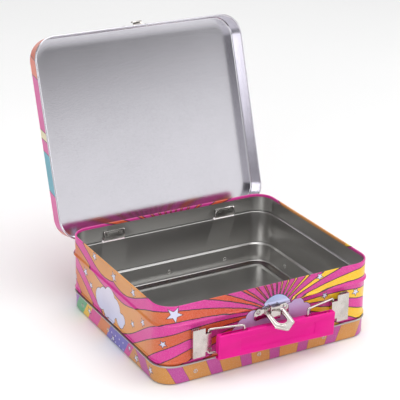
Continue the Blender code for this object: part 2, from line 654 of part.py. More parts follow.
def bail_opening(grow):
    """Opening of the loop, grown by a margin, square at the bar and round at its far end."""
    half = BAIL_OPENING / 2 + grow
    round_start = BAIL_OPENING_END - 4.2 * MM
    depth = BAIL_OPENING_END + grow - round_start
    points = [(half, 2.0 * MM - grow)]
    for step in range(9):
        angle = math.pi * step / 8
        points.append((half * math.cos(angle), round_start + depth * math.sin(angle)))
    points.append((-half, 2.0 * MM - grow))
    return points


def make_latch_bail(pivot_empty):
    """Stamped loop with rims along both edges, on a bar through the bridge."""
    tilt = Matrix.Rotation(math.radians(-BAIL_HANG), 4, "Z")
    pivot = FRONT_FRAME @ Matrix.Translation((LATCH_PIVOT_OUT, LATCH_PIVOT_Z, 0)) @ tilt
    lie_down = Matrix(((0, 1, 0, 0), (0, 0, 1, 0), (1, 0, 0, 0), (0, 0, 0, 1)))
    matrix = pivot @ lie_down
    bail = prism("latch_bail", [bail_outline(0.0)], BAIL_THICKNESS, matrix)
    hole = prism("bail_opening", [bail_opening(0.0)], 3 * BAIL_THICKNESS, matrix, CUTTERS)
    gutter_matrix = matrix @ Matrix.Translation((0, 0, BAIL_THICKNESS / 2))
    gutter = prism("bail_gutter", [bail_outline(BAIL_RIM), bail_opening(BAIL_RIM)],
                   2 * BAIL_GUTTER, gutter_matrix, CUTTERS)
    bar_gap = box_cutter("bail_bar_gap", (-BAIL_OPENING / 2, -3.0 * MM, -3.0 * MM),
                         (BAIL_OPENING / 2, 2.1 * MM, 3.0 * MM))
    bar_gap.matrix_world = matrix
    turn = Matrix.Rotation(math.radians(90), 4, "Y")
    bar_mesh = bpy.data.meshes.new("bail_bar")
    work = bmesh.new()
    bmesh.ops.create_cone(work, cap_ends=True, segments=16, radius1=BAIL_BAR_RADIUS,
                          radius2=BAIL_BAR_RADIUS, depth=BAIL_OPENING + 4.0 * MM)
    work.to_mesh(bar_mesh)
    work.free()
    bar = hide(place(bar_mesh, "bail_bar", matrix @ turn, CUTTERS))
    boolean(bail, hide(hole))
    boolean(bail, hide(gutter))
    boolean(bail, bar_gap)
    boolean(bail, bar, "UNION")
    paint(bail, (0.82, 0.81, 0.79), 0.12, 1.0)
    attach(bail, pivot_empty)
    return bail


# ---- catch ---------------------------------------------------------------------------------
def make_lid_catch():
    """Plate on the lid's skirt with a lip that the loop snaps over."""
    out = LID_SKIRT_OUT + FIT_GAP + LATCH_SHEET / 2
    lip = LID_SKIRT_OUT + CATCH_LIP_OUT
    low = CATCH_LOW + LATCH_SHEET / 2
    line = [(out, CATCH_HIGH), (out, low + 0.8 * MM), (out + 0.8 * MM, low), (lip - 0.8 * MM, low),
            (lip, low + 0.8 * MM), (lip, CATCH_LIP_TOP - 1.0 * MM), (lip - 0.5 * MM, CATCH_LIP_TOP)]
    catch = prism("lid_catch", [strip_outline(line, LATCH_SHEET)], CATCH_WIDTH, FRONT_FRAME)
    paint(catch, (0.78, 0.77, 0.75), 0.2, 1.0)
    face = FRONT - LID_SKIRT_OUT - FIT_GAP - LATCH_SHEET - 0.1 * MM
    for side, label in ((-1, "left"), (1, "right")):
        ends = sorted((side * CATCH_HOOK_WIDTH / 2, side * (CATCH_WIDTH / 2 + 1.0 * MM)))
        boolean(catch, box_cutter("hook_side_" + label,
                                  (ends[0], face - 8.0 * MM, CATCH_LOW - 1.0 * MM),
                                  (ends[1], face, CATCH_LIP_TOP + 2.0 * MM)))
        hole = (side * CATCH_RIVET_X, FRONT - LID_SKIRT_OUT, catch_rivet_z())
        boolean(catch, rivet_hole("catch_hole_" + label, hole))
    return catch


def make_catch_rivets():
    pieces = []
    for side, label in ((-1, "left"), (1, "right")):
        start = (side * CATCH_RIVET_X, FRONT - LID_SKIRT_OUT - FIT_GAP - LATCH_SHEET, catch_rivet_z())
        stack = LATCH_SHEET + FIT_GAP + SHEET
        pieces.append(rivet("catch_rivet_" + label, start, (0, -1, 0), stack))
    return pieces


# ---- handle --------------------------------------------------------------------------------
def bracket_rivet_x():
    return BRACKET_OUTER - BRACKET_FOOT / 2 - BRACKET_SHEET / 2


def bracket_rivet_places():
    middle = (BRACKET_LOW + BRACKET_HIGH) / 2
    return [middle + step * BRACKET_RIVET_SPACING / 2 for step in (-1, 1)]


def make_bracket(side, label):
    """Folded keeper: foot on the wall, plate standing off it, inner edge closed over the wire."""
    low_out = FIT_GAP + BRACKET_SHEET / 2
    high_out = BRACKET_OUT - BRACKET_SHEET / 2
    inner = BRACKET_INNER + BRACKET_SHEET / 2
    outer = BRACKET_OUTER - BRACKET_SHEET / 2
    line = [(outer - BRACKET_FOOT, low_out), (outer, low_out), (outer, high_out), (inner, high_out),
            (inner, FIT_GAP)]
    outline = [(side * x, y) for x, y in strip_outline(line, BRACKET_SHEET)]
    middle = (BRACKET_LOW + BRACKET_HIGH) / 2
    matrix = Matrix.Translation((0, 0, middle)) @ LEVEL_FRAME
    bracket = prism("handle_bracket_" + label, [outline], BRACKET_HIGH - BRACKET_LOW, matrix)
    paint(bracket, (0.80, 0.79, 0.76), 0.22, 1.0)
    ends = sorted((side * (BRACKET_INNER - 1.0 * MM), side * (BRACKET_INNER + KEEPER_WIDTH)))
    clear = WIRE_RADIUS + 2 * FIT_GAP + WIRE_BEND / 2
    spans = ((BRACKET_LOW - 1.0 * MM, WIRE_LOW + clear), (WIRE_HIGH - clear, BRACKET_HIGH + 1.0 * MM))
    for index, (z_low, z_high) in enumerate(spans):
        boolean(bracket, box_cutter(f"keeper_notch_{label}_{index}",
                                    (ends[0], FRONT - BRACKET_OUT - 1.0 * MM, z_low),
                                    (ends[1], FRONT - 0.1 * MM, z_high)))
    for index, z in enumerate(bracket_rivet_places()):
        x = side * bracket_rivet_x()
        hole = rod_cutter(f"bracket_hole_{label}_{index}", (x, FRONT - FIT_GAP, z), (0, 1, 0),
                          RIVET_SHANK + FIT_GAP, 3.0 * MM, 12)
        boolean(bracket, hole)
        end = "low" if index == 0 else "high"
        start = (x, FRONT - FIT_GAP - BRACKET_SHEET, z)
        stack = BRACKET_SHEET + FIT_GAP + SHEET
        rivet(f"bracket_rivet_{label}_{end}", start, (0, -1, 0), stack)
    return bracket


def fillet_path(corners, radius, steps=4):
    """Replace each inner corner of a path by a tangent arc."""
    path = [Vector(corners[0])]
    for before, here, after in zip(corners, corners[1:], corners[2:]):
        here = Vector(here)
        back = (Vector(before) - here).normalized()
        ahead = (Vector(after) - here).normalized()
        for step in range(steps + 1):
            angle = math.pi / 2 * step / steps
            path.append(here + back * radius * (1 - math.sin(angle)) + ahead * radius * (1 - math.cos(angle)))
    path.append(Vector(corners[-1]))
    return path


def make_wire(side, label):
    """Bent wire: pivot upright in the bracket, two arms, a hook down at the end of each."""
    angle = math.radians(WIRE_REST_ANGLE)
    reach = Vector((-side * math.cos(angle), -math.sin(angle), 0.0)) * WIRE_REACH
    corners = [reach + Vector((0, 0, HOOK_HIGH_END)), reach + Vector((0, 0, WIRE_HIGH)),
               Vector((0, 0, WIRE_HIGH)), Vector((0, 0, WIRE_LOW)), reach + Vector((0, 0, WIRE_LOW)),
               reach + Vector((0, 0, HOOK_LOW_END))]
    curve = bpy.data.curves.new("handle_wire_" + label, "CURVE")
    curve.dimensions = "3D"
    curve.bevel_depth = WIRE_RADIUS
    curve.bevel_resolution = 3
    curve.use_fill_caps = True
    path = fillet_path(corners, WIRE_BEND)
    spline = curve.splines.new("POLY")
    spline.points.add(len(path) - 1)
    for point, place_at in zip(spline.points, path):
        point.co = (*place_at, 1.0)
    item = bpy.data.objects.new("handle_wire_" + label, curve)
    PARTS.objects.link(item)
    item.location = (side * WIRE_PIVOT_X, FRONT - WIRE_PIVOT_OUT, 0.0)
    bpy.context.view_layer.update()
    wire = curve_to_mesh(item)
    paint(wire, (0.80, 0.80, 0.78), 0.2, 1.0)
    smooth(wire)
    return wire


def make_grip():
    """Moulded bar, hollow at the back, slotted above and below for the hooks of both wires."""
    half_x, half_y, half_z = GRIP_LENGTH / 2, GRIP_THICKNESS / 2, GRIP_HEIGHT / 2
    bpy.ops.mesh.primitive_cube_add(size=1.0)
    grip = bpy.context.object
    grip.name = "handle_grip"
    for owner in list(grip.users_collection):
        owner.objects.unlink(grip)
    PARTS.objects.link(grip)
    for vertex in grip.data.vertices:
        vertex.co = (vertex.co.x * GRIP_LENGTH, vertex.co.y * GRIP_THICKNESS, vertex.co.z * GRIP_HEIGHT)
    edge = grip.modifiers.new("round_edges", "BEVEL")
    edge.width = GRIP_EDGE
    edge.segments = 3
    front = -half_y
    cutters = [box_cutter("grip_hollow",
                          (-half_x + 2 * MM, front + GRIP_WALL, -half_z + GRIP_WALL),
                          (half_x - 2 * MM, half_y + 1 * MM, half_z - GRIP_WALL))]
    hook_y = half_y - GRIP_HOOK_DEPTH
    slot = WIRE_RADIUS + 1.2 * FIT_GAP
    arm_z = WIRE_LOW - GRIP_Z
    for side, label in ((-1, "left"), (1, "right")):
        ends = sorted((side * GRIP_SLOT_INNER, side * GRIP_SLOT_OUTER))
        cutters.append(box_cutter("grip_slot_" + label, (ends[0], hook_y - slot, -half_z - 1 * MM),
                                  (ends[1], hook_y + slot, half_z + 1 * MM)))
        ends = sorted((side * (half_x - 3 * MM), side * (half_x + 1 * MM)))
        rise = -side * math.tan(math.radians(GRIP_DROOP)) * half_x
        tall = WIRE_RADIUS + 3 * FIT_GAP
        cutters.append(box_cutter("grip_arm_notch_" + label,
                                  (ends[0], front + GRIP_WALL, arm_z - rise - tall),
                                  (ends[1], half_y + 1 * MM, arm_z - rise + tall)))
    panel = rounded_box(-GRIP_PANEL_LENGTH / 2, GRIP_PANEL_LENGTH / 2, -GRIP_PANEL_HEIGHT / 2,
                        GRIP_PANEL_HEIGHT / 2, 2.0 * MM)
    upright = Matrix(((1, 0, 0, 0), (0, 0, -1, front), (0, 1, 0, 0), (0, 0, 0, 1)))
    cutters.append(hide(prism("grip_panel", [panel], 2 * GRIP_PANEL_DEPTH, upright, CUTTERS)))
    out = GRIP_BACK_OUT + half_y
    placed = (Matrix.Translation((0, FRONT - out, GRIP_Z))
              @ Matrix.Rotation(math.radians(GRIP_DROOP), 4, "Y"))
    grip.matrix_world = placed
    for cutter in cutters:
        cutter.matrix_world = placed @ cutter.matrix_world
        boolean(grip, cutter)
    paint(grip, (0.81, 0.01, 0.27), 0.3, 0.0)
    return grip


# ---- assembly ------------------------------------------------------------------------------
def joint_empty(name, location):
    """Empty on a joint's axis, parent of what turns about it."""
    empty = bpy.data.objects.new(name, None)
    empty.location = location
    PARTS.objects.link(empty)
    bpy.context.view_layer.update()
    return empty


def attach(item, empty):
    """Parent an object without moving it."""
    bpy.context.view_layer.update()
    item.parent = empty
    item.matrix_parent_inverse = empty.matrix_world.inverted()


def lid_cutters():
    """Cutters that belong to pieces of the lid and turn with it."""
    starts = ("curl_notch", "lid_hinge_hole", "lid_catch_hole", "lid_knuckle_gap", "lid_leaf_hole",
              "hook_side", "catch_hole")
    return [item for item in CUTTERS.objects if item.name.startswith(starts)]


def main():
    make_bottom_tray()
    make_body_band()
    lid_pieces = [make_lid()] + make_hinges()
    lid_pieces += [make_lid_catch()] + make_catch_rivets()
    make_latch_base()
    make_latch_bail(joint_empty("bail_axis", (0, FRONT - LATCH_PIVOT_OUT, LATCH_PIVOT_Z)))
    for side, label in ((-1, "left"), (1, "right")):
        make_bracket(side, label)
        make_wire(side, label)
    make_grip()
    lid_axis = joint_empty("lid_axis", (0, HINGE_Y, HINGE_Z))
    for item in lid_pieces + lid_cutters():
        attach(item, lid_axis)
    lid_axis.rotation_euler = (-math.radians(LID_OPEN_ANGLE), 0, 0)


main()
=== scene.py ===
"""Looks of a tin lunch box: printed shells, bare tinplate inside, plated hardware, pink grip.

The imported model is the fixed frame. Shells are swept round the box's plan with the print's own
coordinates on them, hardware is refined from the frame's nodes, and rivets, wires and clinch
marks come from Geometry Nodes. Lengths are in metres, except those of the prints, which are in
millimetres of sheet.
"""

import json
import logging
import math
from dataclasses import dataclass, field
from enum import Enum, IntEnum

import bmesh
import bpy
from mathutils import Matrix, Vector

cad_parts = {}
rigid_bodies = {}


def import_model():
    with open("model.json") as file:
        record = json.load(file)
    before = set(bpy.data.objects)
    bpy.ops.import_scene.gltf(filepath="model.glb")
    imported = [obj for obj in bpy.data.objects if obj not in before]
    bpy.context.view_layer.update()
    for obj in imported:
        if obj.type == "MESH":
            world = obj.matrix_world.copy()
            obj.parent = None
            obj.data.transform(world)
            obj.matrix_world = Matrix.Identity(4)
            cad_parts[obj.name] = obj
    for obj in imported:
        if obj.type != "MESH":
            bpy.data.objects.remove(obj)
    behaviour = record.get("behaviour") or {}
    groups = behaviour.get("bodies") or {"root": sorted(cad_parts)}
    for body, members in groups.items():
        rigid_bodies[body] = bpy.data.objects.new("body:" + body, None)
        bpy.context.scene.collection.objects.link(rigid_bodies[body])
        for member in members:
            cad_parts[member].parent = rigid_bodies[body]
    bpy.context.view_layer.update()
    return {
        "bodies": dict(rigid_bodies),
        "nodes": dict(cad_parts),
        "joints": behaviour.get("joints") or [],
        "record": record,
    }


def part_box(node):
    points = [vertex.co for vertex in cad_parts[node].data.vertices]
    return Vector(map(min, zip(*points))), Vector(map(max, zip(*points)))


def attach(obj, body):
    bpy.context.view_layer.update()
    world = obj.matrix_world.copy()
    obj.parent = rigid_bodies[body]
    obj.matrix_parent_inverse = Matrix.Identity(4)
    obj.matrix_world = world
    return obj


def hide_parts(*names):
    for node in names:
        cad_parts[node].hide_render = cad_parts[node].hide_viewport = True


MM = 0.001
SHEET = 0.4 * MM  # thickness of the tinplate
HINGE_X = 55.8 * MM  # middle of each hinge, left and right of the rear's middle
GAP_HALF = 10.8 * MM  # half the width of the window and of the notch at a hinge
PRINT_UNIT = 0.1  # metres of sheet in one unit of the print's coordinates
QUARTER_TURN = 176.7  # print millimetres from the front's middle to the middle of a side
FULL_TURNS = 2 * math.tau  # added to an angle to keep it above zero
LOG = logging.getLogger("lunch_box")

Colour = tuple[float, float, float, float]
Point2 = tuple[float, float]
Point3 = tuple[float, float, float]
Item = bpy.types.Object
Material = bpy.types.Material
Socket = bpy.types.NodeSocket


def ink(code: str) -> Colour:
    """Linear colour of a hex code.

    Args:
        code: Six hex digits, such as "e0449c".

    Returns:
        Red, green, blue and alpha.
    """
    channels = [int(code[index:index + 2], 16) / 255 for index in (0, 2, 4)]
    linear = [c / 12.92 if c <= 0.04045 else ((c + 0.055) / 1.055) ** 2.4 for c in channels]
    return (*linear, 1.0)


class Slot(Enum):
    """Material slots of the record; each piece is passed one, but its finish comes from Finishes."""

    TRAY = "printed_tray"
    BAND = "printed_band"
    LID = "printed_lid"
    HINGE = "plated_hinge"
    WIRE = "plated_wire"
    RIVETS = "rivets"
    BRIGHT = "bright_plating"
    GRIP = "pink_plastic"


class Body(Enum):
    """Rigid bodies of the frame."""

    BOX = "box"
    LID = "lid"
    BAIL = "bail"
    WIRE_LEFT = "wire_left"
    WIRE_RIGHT = "wire_right"
    GRIP = "grip"


class Zone(IntEnum):
    """Finishes of a shell, in the order of its materials."""

    PRINT = 0
    FLAT = 1
    INSIDE = 2
    EDGE = 3


# ---- node arithmetic -----------------------------------------------------------------------
def feed(tree: bpy.types.NodeTree, socket: Socket, value: object) -> None:
    """Link to an input, or set a plain value on it.

    Args:
        tree: Tree that holds the input.
        socket: The input.
        value: Term or output to link, or the value to set.
    """
    source = value.socket if isinstance(value, Term) else value
    if isinstance(source, bpy.types.NodeSocket):
        tree.links.new(source, socket)
    else:
        socket.default_value = source


class Term:
    """A number inside a material's node tree that takes part in ordinary arithmetic."""

    def __init__(self, sheet: "NodeSheet", socket: Socket) -> None:
        """Keep the tree and the output socket that carries the number."""
        self.sheet = sheet
        self.socket = socket

    def __add__(self, other: "Term | float") -> "Term":
        """Sum."""
        return self.sheet.calc("ADD", self, other)

    __radd__ = __add__

    def __sub__(self, other: "Term | float") -> "Term":
        """Difference."""
        return self.sheet.calc("SUBTRACT", self, other)

    def __rsub__(self, other: "Term | float") -> "Term":
        """Difference from a plain number."""
        return self.sheet.calc("SUBTRACT", other, self)

    def __mul__(self, other: "Term | float") -> "Term":
        """Product."""
        return self.sheet.calc("MULTIPLY", self, other)

    __rmul__ = __mul__

    def __truediv__(self, other: "Term | float") -> "Term":
        """Quotient."""
        return self.sheet.calc("DIVIDE", self, other)

    def sin(self) -> "Term":
        """Sine."""
        return self.sheet.calc("SINE", self)

    def cos(self) -> "Term":
        """Cosine."""
        return self.sheet.calc("COSINE", self)

    def fract(self) -> "Term":
        """Part after the point."""
        return self.sheet.calc("FRACT", self)

    def size(self) -> "Term":
        """Absolute value."""
        return self.sheet.calc("ABSOLUTE", self)

    def least(self, other: "Term | float") -> "Term":
        """Smaller of two."""
        return self.sheet.calc("MINIMUM", self, other)

    def most(self, other: "Term | float") -> "Term":
        """Larger of two."""
        return self.sheet.calc("MAXIMUM", self, other)

    def below(self, edge: "Term | float") -> "Term":
        """1 where the number is under an edge."""
        return self.sheet.calc("LESS_THAN", self, edge)

    def above(self, edge: "Term | float") -> "Term":
        """1 where the number is over an edge."""
        return self.sheet.calc("GREATER_THAN", self, edge)

    def within(self, low: float, high: float) -> "Term":
        """1 where the number is between two edges."""
        return self.above(low) * self.below(high)

    def rise(self, low: float, high: float) -> "Term":
        """Smooth step over the number.

        Args:
            low: Where the step leaves 0.
            high: Where the step reaches 1.

        Returns:
            The step.
        """
        node = self.sheet.node("ShaderNodeMapRange", Value=self, From_Min=low, From_Max=high)
        node.interpolation_type = "SMOOTHSTEP"
        return Term(self.sheet, node.outputs["Result"])


class NodeSheet:
    """A material's node tree and short ways to add to it."""

    def __init__(self, name: str) -> None:
        """Start a material.

        Args:
            name: Name of the material.
        """
        self.material = bpy.data.materials.new(name)
        self.material.use_nodes = True
        self.tree = self.material.node_tree
        self.shader = self.tree.nodes["Principled BSDF"]

    def node(self, kind: str, **inputs: object) -> bpy.types.Node:
        """Add a node.

        Args:
            kind: Type of the node.
            inputs: What goes into each named input; underscores stand for spaces.

        Returns:
            The node.
        """
        node = self.tree.nodes.new(kind)
        for name, value in inputs.items():
            feed(self.tree, node.inputs[name.replace("_", " ")], value)
        return node

    def calc(self, operation: str, *values: object) -> Term:
        """Add a Math node.

        Args:
            operation: What it does.
            values: Terms and plain numbers that it takes.

        Returns:
            Its result.
        """
        node = self.node("ShaderNodeMath")
        node.operation = operation
        for socket, value in zip(node.inputs, values):
            feed(self.tree, socket, value)
        return Term(self, node.outputs[0])

    def length(self, across: Term, rise: Term) -> Term:
        """Length of the slope over two sides."""
        return self.calc("SQRT", across * across + rise * rise)

    def print_place(self) -> tuple[Term, Term]:
        """Print coordinates.

        Returns:
            Millimetres round the sheet, and up it.
        """
        place = self.node("ShaderNodeUVMap")
        place.uv_map = "print"
        split = self.node("ShaderNodeSeparateXYZ", Vector=place.outputs["UV"])
        scale = PRINT_UNIT / MM
        return Term(self, split.outputs["X"]) * scale, Term(self, split.outputs["Y"]) * scale

    def grain(self, scale: float | Point3, detail: float = 3.0, rough: float = 0.5) -> Term:
        """Noise over object coordinates.

        Args:
            scale: Waves per metre, or those along each axis.
            detail: Number of finer layers.
            rough: How strong the finer layers are.

        Returns:
            The noise, from 0 to 1.
        """
        stretch = (scale, scale, scale) if isinstance(scale, float) else scale
        place = self.node("ShaderNodeTexCoord").outputs["Object"]
        mapping = self.node("ShaderNodeMapping", Vector=place, Scale=stretch)
        noise = self.node("ShaderNodeTexNoise", Vector=mapping.outputs["Vector"], Scale=1.0,
                          Detail=detail, Roughness=rough)
        return Term(self, noise.outputs["Fac"])

    def mix(self, factor: object, first: object, second: object) -> Socket:
        """Blend two colours.

        Args:
            factor: 0 for the first, 1 for the second.
            first: First colour.
            second: Second colour.

        Returns:
            The blend.
        """
        node = self.node("ShaderNodeMix")
        node.data_type = "RGBA"
        colour_sockets = (0, 6, 7)
        for index, value in zip(colour_sockets, (factor, first, second)):
            feed(self.tree, node.inputs[index], value)
        return node.outputs[2]

    def bump(self, height: Term, strength: float, distance: float) -> None:
        """Give the shader a bump.

        Args:
            height: Height, in any unit.
            strength: How strong the bump is.
            distance: Metres of one unit of height.
        """
        node = self.node("ShaderNodeBump", Strength=strength, Distance=distance, Height=height)
        feed(self.tree, self.shader.inputs["Normal"], node.outputs["Normal"])

    def set(self, **values: object) -> None:
        """Set or link inputs of the shader.

        Args:
            values: What goes into each input, by its small-letter name with underscores.
        """
        names = {socket.name.lower().replace(" ", "_"): socket for socket in self.shader.inputs}
        for name, value in values.items():
            feed(self.tree, names[name], value)


# ---- print motifs --------------------------------------------------------------------------
@dataclass(frozen=True)
class Star:
    """Five-pointed star, in print millimetres."""

    around: float
    up: float
    tip: float
    turn: float = 0.3
    waist: float = 0.42
    points: int = 5

    def edge(self, sheet: NodeSheet, around: Term, up: Term) -> Term:
        """Distance outside the star's edge, negative within it.

        Args:
            sheet: Tree to build in.
            around: Print coordinate round the sheet.
            up: Print coordinate up the sheet.

        Returns:
            The distance.
        """
        across, rise = around - self.around, up - self.up
        radius = sheet.length(across, rise)
        angle = sheet.calc("ARCTAN2", rise, across) + (self.turn + FULL_TURNS)
        sector = math.tau / self.points
        lean = (0.5 - ((angle / sector).fract() - 0.5).size()) * sector
        notch = Vector((math.cos(sector / 2), math.sin(sector / 2))) * self.waist
        facing = Vector((notch.y, 1.0 - notch.x)).normalized()
        along = radius * lean.cos() - self.tip
        return along * facing.x + radius * lean.sin() * facing.y


@dataclass(frozen=True)
class Cloud:
    """Puffy cloud made of round lobes (around, up, radius), in print millimetres."""

    lobes: tuple[Point3, ...]

    def edge(self, sheet: NodeSheet, around: Term, up: Term) -> Term:
        """Distance outside the cloud's edge, negative within it.

        Args:
            sheet: Tree to build in.
            around: Print coordinate round the sheet.
            up: Print coordinate up the sheet.

        Returns:
            The distance.
        """
        nearest = None
        for lobe_around, lobe_up, radius in self.lobes:
            gap = sheet.length(around - lobe_around, up - lobe_up) - radius
            nearest = gap if nearest is None else nearest.least(gap)
        return nearest


def stars(*rows: tuple[float, ...]) -> tuple[Star, ...]:
    """Stars from rows of around, up, tip and, if not the usual, turn."""
    return tuple(Star(*row) for row in rows)


@dataclass(frozen=True)
class Burst:
    """Rays from a centre, bowed upwards, in print millimetres.

    Attributes:
        around: Centre's place round the sheet.
        up: Centre's place up the sheet.
        rays: Rays of each colour in a full turn.
        bow: How far a ray bows.
        bow_length: Radius over which it bows.
        share: Part of a turn that the first colour takes.
        crowded: Added to the share where rays stand upright.
        thinned: Taken from the share far from the centre.
        core: Radius within which the bow fades.
        upright: Slopes between which rays come to count as upright.
        far: Bow lengths between which a place comes to count as far.
    """

    around: float
    up: float
    rays: int
    bow: float = 0.0
    bow_length: float = 100.0
    share: float = 0.5
    crowded: float = 0.0
    thinned: float = 0.0
    core: float = 9.0
    upright: Point2 = (0.25, 0.75)
    far: Point2 = (0.85, 1.6)

    def fields(self, sheet: NodeSheet, across: Term, up: Term) -> tuple[Term, Term, Term]:
        """Where the rays lie.

        Args:
            sheet: Tree to build in.
            across: Distance to the side of the centre, not negative where rays are mirrored.
            up: Print coordinate up the sheet.

        Returns:
            1 on every other ray, the distance to the nearest ray edge, and the distance from
            the centre.
        """
        rise = up - self.up
        radius = sheet.length(across, rise)
        bend = (radius * (math.pi / self.bow_length)).sin() * self.bow / radius.most(self.core)
        angle = sheet.calc("ARCTAN2", rise, across) - bend + FULL_TURNS
        turn = (angle * (self.rays / math.tau)).fract()
        share = (rise / radius.most(1.0)).rise(*self.upright) * self.crowded + self.share
        near, away = (self.bow_length * part for part in self.far)
        share = share - radius.rise(near, away) * self.thinned
        second = turn.above(share)
        gap = turn.least(1.0 - turn).least((turn - share).size())
        return second, gap * radius * (math.tau / self.rays), radius


# ---- finishes ------------------------------------------------------------------------------
LINE = ink("3a0d28")
PINK = ink("e0309a")
PINK_DEEP = ink("c92a8c")
ORANGE = ink("d85829")
ORANGE_RED = ink("d03c1e")
TAN = ink("e39a4e")
YELLOW = ink("fbc71a")
LAVENDER = ink("d3bbe8")
CLOUD_PALE = ink("e6e2f6")
STAR_PALE = ink("dcdcf2")
TEAL = ink("2fa3bb")
BLUE_VIOLET = ink("6a62c4")
GREEN = ink("58b07a")
BARE_TIN = ink("a9a8a6")
WHITE = ink("ffffff")


@dataclass(frozen=True)
class Litho:
    """Printed and varnished tinplate; subclasses give the design.

    Attributes:
        name: Name of the material.
        line_width: Width of the dark outlines.
        wander: How far edges wander from their lines.
        dull_patches_and_edge_highlight: Strength of the dull patches.
        dotted: Strength of the fine pale dots.
        scuffed: Strength of the worn scratches.
        rough: Least roughness of the varnish.
    """

    name: str
    line_width: float = 0.42
    wander: float = 0.7
    dull_patches_and_edge_highlight: float = 0.10
    dotted: float = 0.07
    scuffed: float = 0.55
    rough: float = 0.24
    stars: tuple[Star, ...] = ()

    def design(self, sheet: NodeSheet, around: Term, up: Term) -> Socket:
        """Colour of the print; subclasses replace this."""
        raise NotImplementedError

    def outlined(self, sheet: NodeSheet, ground: object, edge: Term, fill: object) -> Socket:
        """Lay a filled shape with a thin dark outline over a ground.

        Args:
            sheet: Tree to build in.
            ground: Colour under the shape.
            edge: Distance outside the shape's edge.
            fill: Colour of the shape.

        Returns:
            The colour.
        """
        lined = sheet.mix(edge.below(self.line_width), ground, LINE)
        return sheet.mix(edge.below(0.0), lined, fill)

    def starred(self, sheet: NodeSheet, ground: object, around: Term, up: Term) -> object:
        """Lay the stars over a ground.

        Args:
            sheet: Tree to build in.
            ground: Colour under the stars.
            around: Print coordinate round the sheet.
            up: Print coordinate up the sheet.

        Returns:
            The colour.
        """
        for star in self.stars:
            ground = self.outlined(sheet, ground, star.edge(sheet, around, up), STAR_PALE)
        return ground

    def build(self) -> Material:
        """Make the material: design, faint rub and dots, varnish gloss, slight waviness.

        Returns:
            The material.
        """
        sheet = NodeSheet(self.name)
        around, up = sheet.print_place()
        wobble = sheet.grain(160.0, 2.0) - 0.5
        colour = self.design(sheet, around + wobble * self.wander, up + wobble * self.wander)
        soft = sheet.grain(38.0, 4.0)
        colour = sheet.mix(soft.rise(0.35, 0.75) * self.dull_patches_and_edge_highlight, colour, ink("5a2048"))
        dots = sheet.grain(1500.0, 1.0)
        colour = sheet.mix(dots.rise(0.40, 0.72) * self.dotted, colour, WHITE)
        scuff = sheet.grain((900.0, 210.0, 2600.0), 3.0).rise(0.735, 0.765)
        worn = scuff * sheet.grain((34.0, 34.0, 60.0), 2.0).rise(0.50, 0.66)
        colour = sheet.mix(worn * self.scuffed, colour, BARE_TIN)
        sheet.set(base_color=colour, roughness=self.rough + 0.16 * soft + 0.2 * worn,
                  metallic=0.0, specular_ior_level=0.35, coat_weight=0.25, coat_roughness=0.10)
        sheet.bump(sheet.grain(22.0, 1.0) + sheet.grain(700.0) * 0.02, 0.18, 0.0012)
        return sheet.material


